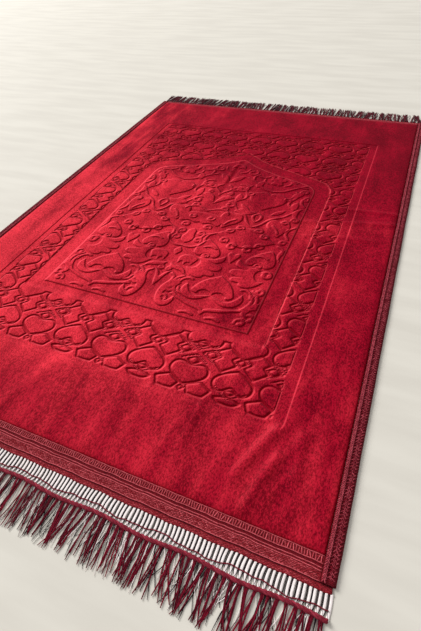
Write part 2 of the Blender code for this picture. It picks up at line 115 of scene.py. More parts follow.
# signed distance to a closed path, positive inside: the least distance to its sides, its sign from the
# count of sides crossed on the way out
def rim(path, x, y):
    ax, ay = path[:, 0], path[:, 1]
    bx, by = np.roll(ax, -1), np.roll(ay, -1)
    dx, dy = bx - ax, by - ay
    px, py = x[..., None] - ax, y[..., None] - ay
    t = np.clip((px * dx + py * dy) / np.maximum(dx**2 + dy**2, 1e-9), 0, 1)
    away = np.hypot(px - t * dx, py - t * dy).min(axis=-1)
    crosses = (ay > y[..., None]) != (by > y[..., None])
    crosses &= px * np.where(dy == 0, 1, dy) * np.sign(dy) < py * dx * np.sign(dy)
    return np.where(crosses.sum(axis=-1) % 2 == 1, away, -away)


# the grid's rows and columns that lie within reach of a path
def window(gx, gy, path, reach=8.0):
    cols = slice(*np.searchsorted(gx, [path[:, 0].min() - reach, path[:, 0].max() + reach]))
    rows = slice(*np.searchsorted(gy, [path[:, 1].min() - reach, path[:, 1].max() + reach]))
    return rows, cols


# the larger of what is there and the signed distance to this outline
def stampPad(field, gx, gy, path):
    rows, cols = window(gx, gy, path)
    part = field[rows, cols]
    if part.size:
        x, y = np.meshgrid(gx[cols], gy[rows])
        np.maximum(part, rim(path, x, y), out=part)


# the larger of what is there and the stroke's half width less the distance to it
def stampLine(field, gx, gy, path, widths, reach=8.0):
    rows, cols = window(gx, gy, path, reach)
    part = field[rows, cols]
    if not part.size:
        return
    x, y = np.meshgrid(gx[cols], gy[rows])
    dx, dy = np.diff(path[:, 0]), np.diff(path[:, 1])
    px, py = x[..., None] - path[:-1, 0], y[..., None] - path[:-1, 1]
    t = np.clip((px * dx + py * dy) / np.maximum(dx**2 + dy**2, 1e-9), 0, 1)
    near = widths[:-1] + t * np.diff(widths) - np.hypot(px - t * dx, py - t * dy)
    np.maximum(part, near.max(axis=-1), out=part)


# many tubes at once: path + r (cos a across + sin a over), paths being (threads, stops, 3); ends closed
# flat
def tubes(paths, radii, sides=5, flat=1.0):
    count, stops = paths.shape[:2]
    along = np.gradient(paths, axis=1)
    along /= np.linalg.norm(along, axis=2, keepdims=True)
    across = np.cross(along, (0, 0, 1))
    across /= np.linalg.norm(across, axis=2, keepdims=True)
    over = np.cross(across, along) * flat
    a = 2 * np.pi * np.arange(sides) / sides
    ring = across[:, :, None] * np.cos(a)[:, None] + over[:, :, None] * np.sin(a)[:, None]
    points = paths[:, :, None] + ring * np.broadcast_to(radii, (count, stops))[:, :, None, None]
    index = np.arange(count * stops * sides).reshape(count, stops, sides)
    turned = np.roll(index, -1, axis=2)
    quads = np.stack([index[:, :-1], index[:, 1:], turned[:, 1:], turned[:, :-1]], -1).reshape(-1, 4)
    return points.reshape(-1, 3), [quads, np.concatenate([index[:, 0], index[:, -1, ::-1]])]


# short bowed threads: centre + t length / 2 (cos angle, sin angle), lifted by bow (1 - t t), thinner at
# both ends
def stitches(centres, angles, lengths, radius, bow):
    t = np.array([-1.0, -0.75, 0.0, 0.75, 1.0])
    run = np.stack([np.cos(angles), np.sin(angles), 0 * angles], 1) * (lengths / 2)[:, None]
    paths = centres[:, None] + run[:, None] * t[:, None]
    paths[..., 2] += bow * (1 - t**2)
    return tubes(paths, radius * np.array([0.45, 0.95, 1.0, 0.95, 0.45]))


# a closed slab: the grid of top points, straight sides down to the floor and a fanned underside
def slab(x, y, top):
    rows, cols = top.shape
    grid = np.arange(rows * cols).reshape(rows, cols)
    quads = np.stack([grid[:-1, :-1], grid[:-1, 1:], grid[1:, 1:], grid[1:, :-1]], -1).reshape(-1, 4)
    edge = np.concatenate([grid[0, :-1], grid[:-1, -1], grid[-1, :0:-1], grid[:0:-1, 0]])
    points = np.stack([x, y, top], -1).reshape(-1, 3)
    low = points[edge] * (1, 1, 0)
    middle = np.array([[x.mean(), y.mean(), 0.0]])
    foot = rows * cols + np.arange(len(edge))
    skirt = np.stack([edge, foot, np.roll(foot, -1), np.roll(edge, -1)], -1)
    fan = np.stack([np.roll(foot, -1), foot, np.full(len(edge), rows * cols + len(edge))], -1)
    return np.vstack([points, low, middle]), [np.vstack([quads, skirt]), fan], edge


# a value on the slab's top grid, carried on to its skirt and middle point
def onSlab(values, edge):
    return np.concatenate([values.ravel(), values.ravel()[edge], [0.0]])


# a value for each thread, given to all its points
def byThread(values, points):
    return np.repeat(values, len(points) // len(values))


# several meshes as one: their points in a row, and each one's faces moved on by the points before them
def joined(parts):
    points, sets, base = [], {}, 0
    for made, faceSets in parts:
        for faces in faceSets:
            sets.setdefault(faces.shape[1], []).append(faces + base)
        points.append(made)
        base += len(made)
    return np.vstack(points), [np.vstack(group) for group in sets.values()]


# one piece from millimetre points and index arrays; marks are values by point that its material reads
def putPiece(name, points, faceSets, look, marks=None):
    loops = np.concatenate([faces.ravel() for faces in faceSets]).astype(np.int32)
    sizes = np.concatenate([np.full(len(faces), faces.shape[1]) for faces in faceSets])
    mesh = bpy.data.meshes.new(name)
    mesh.vertices.add(len(points))
    mesh.vertices.foreach_set("co", ((points + (0, velvetMiddle, 0)) / 1000).astype(np.float32).ravel())
    mesh.loops.add(len(loops))
    mesh.loops.foreach_set("vertex_index", loops)
    mesh.polygons.add(len(sizes))
    mesh.polygons.foreach_set("loop_start", (np.cumsum(sizes) - sizes).astype(np.int32))
    mesh.update(calc_edges=True)
    mesh.shade_smooth()
    for key, values in (marks or {}).items():
        mark = mesh.attributes.new(key, "FLOAT", "POINT")
        mark.data.foreach_set("value", np.asarray(values, np.float32).ravel())
    mesh.materials.append(look)
    piece = bpy.data.objects.new(name, mesh)
    bpy.context.collection.objects.link(piece)
    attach(piece, "root")
    return piece


# The velvet's colours: lit and shaded copies of it for painted light and shade, the colour of painted shade,
# a darker one for deep painted shade and the colour of painted highlights; and how far painted shade in the
# grooves and beside the niche, painted highlights on rims facing the window and painted shade on rims facing
# away are mixed in.
velvetColours = {"litDark": (0.38, 0.009, 0.018, 1), "litLight": (0.93, 0.040, 0.066, 1),
                 "shadedDark": (0.12, 0.0, 0.006, 1), "shadedLight": (0.42, 0.003, 0.022, 1),
                 "grooveAndShade": (0.23, 0.0, 0.004, 1), "darkShade": (0.06, 0.0, 0.004, 1),
                 "paintedHighlight": (0.95, 0.075, 0.105, 1), "grooveShade": 0.52, "troughShade": 0.42,
                 "ridgeGlow": 0.80, "ridgeShade": 0.86}

# How the pressed outlines show as bump, in millimetres: the half width of each step and its height, then the
# width and depth of the grooves and the creases' share; the rest place the masks for painted shade at the
# feet of the raised motifs, for the painted highlight and painted shade beside the niche, and for painted
# shade along the frame.
pressSteps = (("Frame", 1.1, 1.2), ("Niche", 2.4, 2.6), ("Leaves", 1.8, 2.8), ("Blooms", 1.8, 2.5))
press = {"rimReach": 3.4, "strokeReach": 1.3, "grooveHeight": -2.4, "creaseShare": 1.3, "footAt": 1.2,
         "footReach": 1.8, "footShade": 0.35, "highlightAt": 1.0, "highlightReach": (0.2, 1.7), "nicheShadeAt": 1.4,
         "nicheShadeReach": 2.0, "frameShadeReach": 1.5}

# The nap and the painted light: how far a place lies away from the window over the rug, which sets the
# painted light and shade, in metres where it is a place; with the nap's tones, grain and bump. Each row of
# four is a fade's start and end, and the values there.
napAndPaintedLight = {"slant": 0.3, "patch": -0.75, "nearEnd": (-0.50, -0.40, 0.86, 0.0), "nearShadeLevel": -0.22,
       "streak": (0.30, 0.70, 0.10, -0.10), "streakSide": (-0.34, -0.24, 2.6, 1.0),
       "farEnd": (0.04, 0.34, 0.0, 0.32), "foldMiddle": 0.08, "foldBend": 0.3, "foldPlace": 0.0234,
       "foldEdge": (-0.003, 0.003, 1.0, 0.0), "foldReach": (-0.075, -0.012),
       "foldSide": (-0.10, 0.28, -0.04, -0.17), "lit": (-0.78, 0.0, 1.0, 0.0),
       "tones": {"Streak": 0.75, "Fibre": 0.45, "Patch": 0.30, "Blotch": 0.20}, "tone": (0.69, 1.01),
       "farShade": (0.02, 0.50, 0.0, 0.42), "nicheReach": (-0.30, -0.26),
       "frameShadeSide": (0.27, 0.295, 0.55, 0.0), "frameShadeReach": (-0.40, -0.36),
       "tapeEdge": (0.3795, 0.3832, 0.0, 0.75), "grainHeight": 0.55, "bump": 0.0011,
       # window: the way the painted highlights face; glow and depth: how far painted highlight and painted
       # shade are mixed in on slopes facing towards and away from it, and glowLit and depthLit scale them by
       # lit
       "window": (-0.78, 0.54, 0.0), "glow": (0.08, 0.62, 0.0, velvetColours["ridgeGlow"]),
       "glowLit": (-0.45, 0.8), "depth": (-0.62, -0.08, velvetColours["ridgeShade"], 0.0),
       "depthLit": (-0.6, 0.7), "highlightSide": (-0.16, 0.08, 0.12, 0.46)}

# The pile's grains: stretch along the rug, turn, then the noise's scale, detail and roughness.
pileGrains = {"Patch": (0.55, 0.35, 16.0, 3.0, 0.6), "Brushed": (0.15, 0.12, 48.0, 3.0, 0.65),
              "Blotch": (0.7, 0.4, 150.0, 4.0, 0.75), "Streak": (0.55, 0.5, 480.0, 3.0, 0.7),
              "Fibre": (0.5, 0.5, 900.0, 2.0, 0.6)}


# material helpers: each returns an output socket, and a feed is a socket or a plain value
def feedInto(tree, feed, entry):
    if isinstance(feed, bpy.types.NodeSocket):
        tree.links.new(feed, entry)
    else:
        entry.default_value = feed


# a node with its settings, each of its inputs fed by name or number
def addNode(tree, kind, feeds=None, **settings):
    made = tree.nodes.new(kind)
    made.location = (190 * len(tree.nodes), 0)
    for key, value in settings.items():
        setattr(made, key, value)
    for key, feed in (feeds or {}).items():
        feedInto(tree, feed, made.inputs[key])
    return made


# one step of arithmetic on the feeds
def calc(tree, operation, *feeds):
    return addNode(tree, "ShaderNodeMath", dict(enumerate(feeds)), operation=operation).outputs[0]


# the first feed and all the others added up
def plus(tree, total, *feeds):
    for feed in feeds:
        total = calc(tree, "ADD", total, feed)
    return total


# the first feed and all the others multiplied
def times(tree, product, *feeds):
    for feed in feeds:
        product = calc(tree, "MULTIPLY", product, feed)
    return product


# the value without its sign
def sizeOf(tree, value):
    return calc(tree, "ABSOLUTE", value)


# a smooth step of the value, from start at low to end at high
def fade(tree, value, low, high, start=0.0, end=1.0):
    feeds = {"Value": value, "From Min": low, "From Max": high, "To Min": start, "To Max": end}
    return addNode(tree, "ShaderNodeMapRange", feeds, interpolation_type="SMOOTHSTEP").outputs["Result"]


# the first colour where the amount is 0, the second where it is 1
def mixColour(tree, amount, first, second):
    return addNode(tree, "ShaderNodeMix", {0: amount, 6: first, 7: second}, data_type="RGBA").outputs[2]


# the coordinates turned and scaled, so that a pattern on them is stretched
def stretched(tree, vector, scale, turn=(0, 0, 0)):
    feeds = {"Vector": vector, "Scale": scale, "Rotation": turn}
    return addNode(tree, "ShaderNodeMapping", feeds).outputs[0]


# noise around 0.5, each finer layer weaker than the last by rough
def noiseOf(tree, vector, scale, detail, rough):
    feeds = {"Vector": vector, "Scale": scale, "Detail": detail, "Roughness": rough}
    return addNode(tree, "ShaderNodeTexNoise", feeds).outputs["Fac"]


# a value that the piece carries at its points
def markOf(tree, name):
    return addNode(tree, "ShaderNodeAttribute", attribute_name=name).outputs["Fac"]


# x, y and z of the coordinates
def placesOf(tree, vector):
    return addNode(tree, "ShaderNodeSeparateXYZ", {"Vector": vector}).outputs


# a group and its inputs, from each input's name and kind
def newGroup(name, entries):
    group = bpy.data.node_groups.new(name, "ShaderNodeTree")
    for key, kind in entries.items():
        group.interface.new_socket(key, in_out="INPUT", socket_type="NodeSocket" + kind)
    return group, group.nodes.new("NodeGroupInput").outputs


# the group puts out one number for each key
def closeGroup(group, made):
    for key in made:
        group.interface.new_socket(key, in_out="OUTPUT", socket_type="NodeSocketFloat")
    addNode(group, "NodeGroupOutput", made)
    return group


# the outputs of a group in this tree, with these feeds
def useGroup(tree, group, feeds):
    return addNode(tree, "ShaderNodeGroup", feeds, node_tree=group).outputs


# a material, its tree, its surface shader and the piece's own coordinates
def newLook(name):
    look = bpy.data.materials.new(name)
    look.use_nodes = True
    tree = look.node_tree
    tree.nodes.clear()
    surface = addNode(tree, "ShaderNodeBsdfPrincipled")
    addNode(tree, "ShaderNodeOutputMaterial", {"Surface": surface.outputs[0]})
    vector = addNode(tree, "ShaderNodeTexCoord").outputs["Object"]
    return look, tree, surface, vector


# the height as a bump in the surface's normal
def bumpInto(tree, surface, height, distance):
    bumped = addNode(tree, "ShaderNodeBump", {"Height": height, "Distance": distance}).outputs[0]
    tree.links.new(bumped, surface.inputs["Normal"])
    return bumped


# the colour over the surface, and the values that are the same all over it
def finishSurface(tree, surface, colour, values):
    tree.links.new(colour, surface.inputs["Base Color"])
    for key, value in values.items():
        surface.inputs[key].default_value = value


# The marks that the velvet carries for its bump: signed distances to each kind of outline, and the creases'
# height.
pressKeys = ("pads", "beads", "lines", "frame", "niche", "leaves", "blooms", "creases")


# The pressed pattern across its own widths: grooves at the lattice's rims and strokes and steps at the other
# outlines as bump height, a mask of painted shade in the grooves and at the feet of the raised motifs, and
# the masks of the thin painted highlight and the band of painted shade that follow the niche and of the
# painted shade along the frame.
def pressGroup():
    group, entry = newGroup("pressedPileAndPaintedLight", {key.title(): "Float" for key in pressKeys})
    rims = [fade(group, sizeOf(group, entry[key]), 0.0, press["rimReach"], 1.0, 0.0)
            for key in ("Pads", "Beads")]
    stroke = fade(group, entry["Lines"], -press["strokeReach"], press["strokeReach"])
    grooveAndShade = calc(group, "MAXIMUM", calc(group, "MAXIMUM", *rims), stroke)
    height = times(group, grooveAndShade, press["grooveHeight"])
    for key, reach, rise in pressSteps:
        height = plus(group, height, fade(group, entry[key], -reach, reach, 0.0, rise))
    height = plus(group, height, times(group, entry["Creases"], press["creaseShare"]))
    # the feet just outside the raised leaves and blooms join the mask of painted shade
    for key in ("Leaves", "Blooms"):
        foot = sizeOf(group, plus(group, entry[key], press["footAt"]))
        shade = fade(group, foot, 0.0, press["footReach"], press["footShade"], 0.0)
        grooveAndShade = calc(group, "MAXIMUM", grooveAndShade, shade)
    # where the thin painted highlight lies just outside the niche outline, and the band of painted shade just
    # inside it
    toHighlight = sizeOf(group, plus(group, entry["Niche"], -press["highlightAt"]))
    toNicheShade = sizeOf(group, plus(group, entry["Niche"], press["nicheShadeAt"]))
    return closeGroup(group, {
        "ShadeInGrooves": grooveAndShade, "Height": height,
        "NicheHighlight": fade(group, toHighlight, *press["highlightReach"], 1.0, 0.0),
        "NicheShade": fade(group, toNicheShade, 0.0, press["nicheShadeReach"], 1.0, 0.0),
        "Seam": fade(group, sizeOf(group, entry["Frame"]), 0.0, press["frameShadeReach"], 1.0, 0.0),
    })


# Cut pile: broad patches where the nap was brushed another way, streaks of lying tufts, and single fibre
# ends.
def napGroup():
    group, entry = newGroup("napGrain", {"Vector": "Vector"})
    made = {}
    for key, (along, turn, *grain) in pileGrains.items():
        made[key] = noiseOf(group, stretched(group, entry["Vector"], (1.0, along, 1.0), (0, 0, turn)), *grain)
    made["Height"] = plus(group, times(group, made["Streak"], 0.7), times(group, made["Fibre"], 0.35))
    return closeGroup(group, made)


# Spun thread: uneven thickness of colour along it and fine hairs across it.
def threadGroup():
    group, entry = newGroup("threadGrain", {"Vector": "Vector"})
    hairs = stretched(group, entry["Vector"], (1.0, 0.4, 1.0), (0, 0, 0.6))
    return closeGroup(group, {"Tone": noiseOf(group, entry["Vector"], 420.0, 3.0, 0.65),
                              "Height": noiseOf(group, hairs, 1500.0, 2.0, 0.6)})


# Plain weave: sin(x) sin(y), each thread running over the other in turn.
def weaveGroup():
    group, entry = newGroup("plainWeave", {"Vector": "Vector", "Pitch": "Float"})
    parts = placesOf(group, entry["Vector"])
    turn = calc(group, "DIVIDE", 2 * np.pi, entry["Pitch"])
    waves = [calc(group, "SINE", times(group, parts[key], turn)) for key in ("X", "Y")]
    return closeGroup(group, {"Tone": noiseOf(group, entry["Vector"], 500.0, 3.0, 0.7),
                              "Height": times(group, *waves)})


napGrain, threadGrain, plainWeave, pressedPileAndPaintedLight = napGroup(), threadGroup(), weaveGroup(), pressGroup()


# Painted light and shade across the velvet: how far a place lies away from the window, from its slant over
# the rug, the nap's brushed patches and streaks, the evener near end, the far end, and a band beside the fold
# painted lighter, whose line is place + bend (x + middle)^2.
def paintedFalloffAndNap(tree, x, y, grain):
    falloffAndNap = plus(tree, x, times(tree, y, napAndPaintedLight["slant"]), times(tree, grain["Patch"], napAndPaintedLight["patch"]))
    toNear = calc(tree, "SUBTRACT", napAndPaintedLight["nearShadeLevel"], falloffAndNap)
    falloffAndNap = plus(tree, falloffAndNap, times(tree, toNear, fade(tree, y, *napAndPaintedLight["nearEnd"])))
    streaks = times(tree, fade(tree, grain["Brushed"], *napAndPaintedLight["streak"]), fade(tree, x, *napAndPaintedLight["streakSide"]))
    falloffAndNap = plus(tree, falloffAndNap, streaks, fade(tree, y, *napAndPaintedLight["farEnd"]))
    across = sizeOf(tree, plus(tree, x, napAndPaintedLight["foldMiddle"]))
    bend = times(tree, calc(tree, "POWER", across, 2.0), napAndPaintedLight["foldBend"])
    fold = calc(tree, "SUBTRACT", y, plus(tree, bend, napAndPaintedLight["foldPlace"]))
    band = times(tree, fade(tree, fold, *napAndPaintedLight["foldEdge"]), fade(tree, fold, *napAndPaintedLight["foldReach"]),
                 fade(tree, x, *napAndPaintedLight["foldSide"]))
    return plus(tree, falloffAndNap, band)


# The velvet's colour with painted light and shade: lit and shaded colours across it, painted highlights on
# slopes that face the window, and painted shade on slopes that face away, in the grooves, beside the niche
# and the frame, at the tape edge and towards the far end.
def velvetMaterial():
    look, tree, surface, vector = newLook("velvetLook")
    grain = useGroup(tree, napGrain, {"Vector": vector})
    pressed = useGroup(tree, pressedPileAndPaintedLight, {key.title(): markOf(tree, key) for key in pressKeys})
    parts = placesOf(tree, vector)
    x, y = parts["X"], parts["Y"]
    falloffAndNap = paintedFalloffAndNap(tree, x, y, grain)
    # lit: how far the velvet's painted lit colours replace its painted shaded ones
    lit = fade(tree, falloffAndNap, *napAndPaintedLight["lit"])
    tone = plus(tree, *[times(tree, grain[key], share) for key, share in napAndPaintedLight["tones"].items()])
    tone = fade(tree, tone, *napAndPaintedLight["tone"])
    height = plus(tree, pressed["Height"], times(tree, grain["Height"], napAndPaintedLight["grainHeight"]))
    bumped = bumpInto(tree, surface, height, napAndPaintedLight["bump"])
    facing = addNode(tree, "ShaderNodeVectorMath", {0: bumped, 1: napAndPaintedLight["window"]}, operation="DOT_PRODUCT")
    facing = facing.outputs["Value"]
    inNiche = fade(tree, y, *napAndPaintedLight["nicheReach"])
    # where painted shade follows the frame line: not along its right side nor at the near end
    darkShade = times(tree, fade(tree, x, *napAndPaintedLight["frameShadeSide"]), fade(tree, y, *napAndPaintedLight["frameShadeReach"]))
    layers = [
        # deep painted shade where the painted falloff lies far from the window
        (fade(tree, falloffAndNap, *napAndPaintedLight["farShade"]), "darkShade"),
        # painted shade in the grooves and at the feet of the raised motifs
        (times(tree, pressed["ShadeInGrooves"], velvetColours["grooveShade"]), "grooveAndShade"),
        # a band of painted shade just inside the niche outline
        (times(tree, pressed["NicheShade"], inNiche, velvetColours["troughShade"]), "grooveAndShade"),
        # painted shade along the frame line
        (times(tree, pressed["Seam"], darkShade), "grooveAndShade"),
        # painted shadow at the velvet's edge beside the tapes
        (fade(tree, sizeOf(tree, x), *napAndPaintedLight["tapeEdge"]), "darkShade"),
        # painted highlight on slopes that face the window
        (times(tree, fade(tree, facing, *napAndPaintedLight["glow"]), fade(tree, lit, *napAndPaintedLight["glowLit"])), "paintedHighlight"),
        # painted shade on slopes that face away from the window
        (times(tree, fade(tree, facing, *napAndPaintedLight["depth"]), fade(tree, lit, *napAndPaintedLight["depthLit"])), "grooveAndShade"),
        # a thin painted highlight just outside the niche outline, stronger towards the right
        (times(tree, pressed["NicheHighlight"], fade(tree, x, *napAndPaintedLight["highlightSide"]), inNiche), "paintedHighlight"),
    ]
    # lit and shaded copies of the velvet's colour, mixed by lit, are painted light and shade
    shaded = mixColour(tree, tone, velvetColours["shadedDark"], velvetColours["shadedLight"])
    bright = mixColour(tree, tone, velvetColours["litDark"], velvetColours["litLight"])
    colour = mixColour(tree, lit, shaded, bright)
    for amount, key in layers:
        colour = mixColour(tree, amount, colour, velvetColours[key])
    finishSurface(tree, surface, colour, {"Roughness": 0.8, "Specular IOR Level": 0.03, "Sheen Weight": 0.10,
                                          "Sheen Roughness": 0.4, "Sheen Tint": (1.0, 0.08, 0.14, 1)})
    return look


yarnFinish = {"Specular IOR Level": 0.08, "Sheen Weight": 0.08, "Sheen Tint": (1.0, 0.4, 0.45, 1)}
# the dark colour of uneven tone and of painted shade in the weave's hollows
toneAndHollowShade = (0.05, 0.0, 0.003, 1)


# dark and light are the ends of the piece's own shade values from 0 to 1, with a middle colour from 0.45 to
# 0.7 if one is given; depth is how dark the thread's thin places are
def threadMaterial(name, dark, light, rough=0.72, middle=None, depth=0.55):
    look, tree, surface, vector = newLook(name)
    grain = useGroup(tree, threadGrain, {"Vector": vector})
    shade = markOf(tree, "shade")
    if middle:
        colour = mixColour(tree, fade(tree, shade, 0.30, 0.45), dark, middle)
        colour = mixColour(tree, fade(tree, shade, 0.70, 0.80), colour, light)
    else:
        colour = mixColour(tree, shade, dark, light)
    thin = fade(tree, grain["Tone"], 0.35, 0.62, depth, 0.0)
    colour = mixColour(tree, thin, colour, mixColour(tree, 0.5, dark, (0, 0, 0, 1)))
    bumpInto(tree, surface, grain["Height"], 0.0004)
    finishSurface(tree, surface, colour, {"Roughness": rough, **yarnFinish})
    return look


# woven ground: the piece's own tint value runs from the ground colour at 0 to the rib colour at 1; a dark
# colour is mixed in as uneven tone where the noise is low, and as painted shade where the weave dips
def wovenMaterial(name, ground, rib, pitch):
    look, tree, surface, vector = newLook(name)
    weave = useGroup(tree, plainWeave, {"Vector": vector, "Pitch": pitch})
    colour = mixColour(tree, markOf(tree, "tint"), ground, rib)
    colour = mixColour(tree, fade(tree, weave["Tone"], 0.36, 0.62, 0.6, 0.0), colour, toneAndHollowShade)
    # painted shade where the weave dips
    colour = mixColour(tree, fade(tree, weave["Height"], -1.0, 0.3, 0.4, 0.0), colour, toneAndHollowShade)
    bumpInto(tree, surface, weave["Height"], 0.0005)
    finishSurface(tree, surface, colour, {"Roughness": 0.85, **yarnFinish})
    return look


velvetLook = velvetMaterial()
tapeLook = wovenMaterial("tapeLook", (0.15, 0.003, 0.010, 1), (0.32, 0.014, 0.026, 1), 0.0018)
headingLook = wovenMaterial("headingLook", (0.24, 0.004, 0.012, 1), (0.60, 0.038, 0.056, 1), 0.0016)
mauveLook = threadMaterial("mauveLook", (0.27, 0.010, 0.018, 1), (0.73, 0.125, 0.15, 1))
stitchLook = threadMaterial("stitchLook", (0.18, 0.004, 0.014, 1), (0.56, 0.085, 0.115, 1))
bundleLook = threadMaterial("bundleLook", (0.16, 0.006, 0.018, 1), (0.36, 0.035, 0.06, 1))
yarnLook = threadMaterial("yarnLook", (0.03, 0.0, 0.004, 1), (0.23, 0.003, 0.020, 1))
threadLook = threadMaterial("threadLook", (0.012, 0.006, 0.008, 1), (0.97, 0.88, 0.85, 1), rough=0.6,
                            middle=(0.20, 0.13, 0.13, 1), depth=0.12)
print("materials made")


# The lattice: rows of shields, every second one turned over, with vases, diamonds and eyes between the rows.
lattice = {"columnPitch": 70.0, "rowPitch": 69.3, "firstX": 6.3, "firstY": -396.0, "flippedDrop": 3.0,
           "knotRise": 38.0, "vaseAside": 24.4, "halfWidth": 283.0, "farEdge": 402.0, "nearEdge": -446.0,
           "plainBand": -327.0, "bendHalfWidth": 1.3, "edgeDiamond": 0.6}
shieldHalf = [(0, -24.5), (0, -24.5), (9, -20.2), (18, -15), (26, -8), (29.6, -1.5), (29.2, 5), (26, 10.8),
              (20, 14), (12, 13.6), (6, 11.6), (0, 10.6)]
vaseHalf = [(0, 23), (0, 23), (18, 10.4), (18, 10.4), (10, 3), (10, 0), (18, -8), (18, -8), (0, -24),
            (0, -24)]
footHalf = [(0, 17.5), (0, 17.5), (19, 7.6), (19, 7.6), (12, -5), (12, -5), (0, -6)]
lensHalf = [(0, 8), (0, 8), (19, 2), (19, 2), (11, -4), (0, -5)]
diamondHalf = [(0, 6.4), (0, 6.4), (7.6, 0), (7.6, 0), (0, -6.4), (0, -6.4)]
eyeHalf = [(0, 6.4), (2, 5.8), (9.6, 0), (9.6, 0), (2, -5.8), (0, -6.4)]
# each knot's eyes, and beside each the bent groove at the edge of the two straps that cross there
knotEyes = [((0, 16.6), [(-24, 19), (-14, 13), (0, 4.4), (14, 13), (24, 19)]),
            ((0, -18.4), [(-20, -18), (-14, -14), (0, -6.2), (14, -14), (20, -18)]),
            ((22.5, 0), [(29, 13), (20, 8), (7, 0), (20, -8), (29, -13)]),
            ((-21, 0), [(-29, 13), (-20, 8), (-7, 0), (-20, -8), (-29, -13)])]


# each motif of the lattice stamped at its place; the row at the near edge has lenses and feet instead
def drawLattice(pads, beads, lines, gx, gy):
    shield, vase, foot = mirroredPath(shieldHalf), mirroredPath(vaseHalf, 3), mirroredPath(footHalf, 3)
    diamond, eye, lens = mirroredPath(diamondHalf, 1), mirroredPath(eyeHalf, 3), mirroredPath(lensHalf, 3)
    for j in range(-1, 12):
        for i in range(-5, 6):
            x = lattice["firstX"] + lattice["columnPitch"] * i
            y = lattice["firstY"] + lattice["rowPitch"] * j
            upright, knot, atEdge = (i + j) % 2 == 0, y + lattice["knotRise"], j < 0
            if upright:
                stampPad(pads, gx, gy, lens + (x, knot) if atEdge else shield + (x, y))
                for place, bend in knotEyes[:1] if atEdge else knotEyes:
                    stampPad(beads, gx, gy, eye + place + (x, knot))
                    halfWidths = np.full(len(bend), lattice["bendHalfWidth"])
                    stampLine(lines, gx, gy, np.array(bend) + (x, knot), halfWidths)
            else:
                if not atEdge:
                    stampPad(pads, gx, gy, shield * (1, -1) + (x, y - lattice["flippedDrop"]))
                stampPad(beads, gx, gy, diamond * (lattice["edgeDiamond"] if atEdge else 1.0) + (x, knot))
                for aside in (-lattice["vaseAside"], lattice["vaseAside"]):
                    stampPad(beads, gx, gy, (foot if atEdge else vase) + (x + aside, knot))


# The niche and the field in it: right halves of their outlines from the spring of the arch to its point,
# and the ends of their straight sides. All stand about one axis, and the field's pairs about a line on each
# side of it.
axisX, pairLine, fieldEdge = 3.0, 111.0, 197.0
nicheNear, fieldNear = -600.0, -300.0
arch = [(233, 140), (229, 163), (213, 186), (180, 201), (125, 219), (75, 238), (38, 258), (0, 284)]
archInner = [(200, 138), (196, 153), (183, 166), (158, 177), (110, 193), (66, 210), (33, 227), (0, 251)]


# the half's points and its mirror image, closed along the near end
def archPath(half, near):
    right = np.vstack([[(half[0][0], near)], smoothPath(half)])
    return np.vstack([right, right[::-1] * (-1, 1)]) + (axisX, 0)


# The field's pattern. Halves and outlines with "paired" stand about a line on each side of the axis, and
# are mirrored about it; the "central" ones are mirrored about the axis only. Strokes are the half widths at
# their start, middle and end, then points; curls are centre, first and last radius, first and last angle.
strokeSpread = 0.7  # added to every stroke's half width
curlHalfWidths = (1.9, 3.1, 3.3)
pairedHalves = [
    [(0, 40), (0, 40), (13, 52), (28, 64), (38, 77), (41, 91), (36, 103), (25, 110), (12, 112), (4, 109),
     (0, 104), (0, 104)],
    [(0, -185), (0, -185), (9, -192), (21, -201), (31, -213), (37, -226), (39, -233), (34, -239),
     (27, -240), (25, -234), (18, -229), (10, -229), (4, -232), (0, -237), (0, -237)],
    [(0, -148), (0, -148), (8, -133), (12, -122), (8, -116), (0, -121), (0, -121)],
    [(0, 198), (0, 198), (8, 188), (5, 180), (15, 178), (18, 170), (10, 164), (14, 154), (6, 148), (0, 152),
     (0, 152)],
    [(0, -32), (14, -33), (28, -39), (42, -49), (52, -58), (62, -66), (62, -66), (52, -72), (42, -80),
     (28, -90), (14, -96), (0, -98)],
]
pairedLeaves = [
    [(66, -90), (66, -90), (53, -97), (41, -107), (31, -120), (27, -132), (32, -141), (40, -141),
     (45, -134), (53, -131), (60, -135), (64, -142), (72, -141), (79, -134), (80, -120), (75, -105)],
    [(58, -44), (58, -44), (46, -33), (34, -22), (27, -8), (30, 7), (40, 13), (50, 10), (59, 14), (70, 9),
     (75, -6), (70, -22), (64, -34)],
]
pairedOutlines = [
    [(42, -148), (31, -145), (22, -139), (14, -131), (14, -131), (12, -141), (15, -150), (24, -155),
     (38, -156), (38, -156), (22, -159), (11, -163), (9, -171), (17, -177), (36, -178), (36, -178),
     (22, -181), (16, -187), (20, -193), (34, -193), (34, -193), (36, -200), (46, -203), (58, -199),
     (68, -190), (74, -180), (74, -180), (64, -180), (57, -174), (54, -164), (57, -154), (62, -149),
     (52, -147)],
    [(52, -221), (52, -221), (57, -233), (54, -246), (43, -255), (28, -257), (14, -251), (2, -240),
     (2, -240), (14, -243), (26, -247), (37, -244), (45, -234)],
    [(64, 56), (64, 56), (56, 68), (57, 82), (66, 92), (66, 92), (70, 80), (70, 66)],
    [(24, 28), (24, 28), (36, 32), (46, 42), (50, 54), (50, 54), (38, 48), (28, 38)],
]
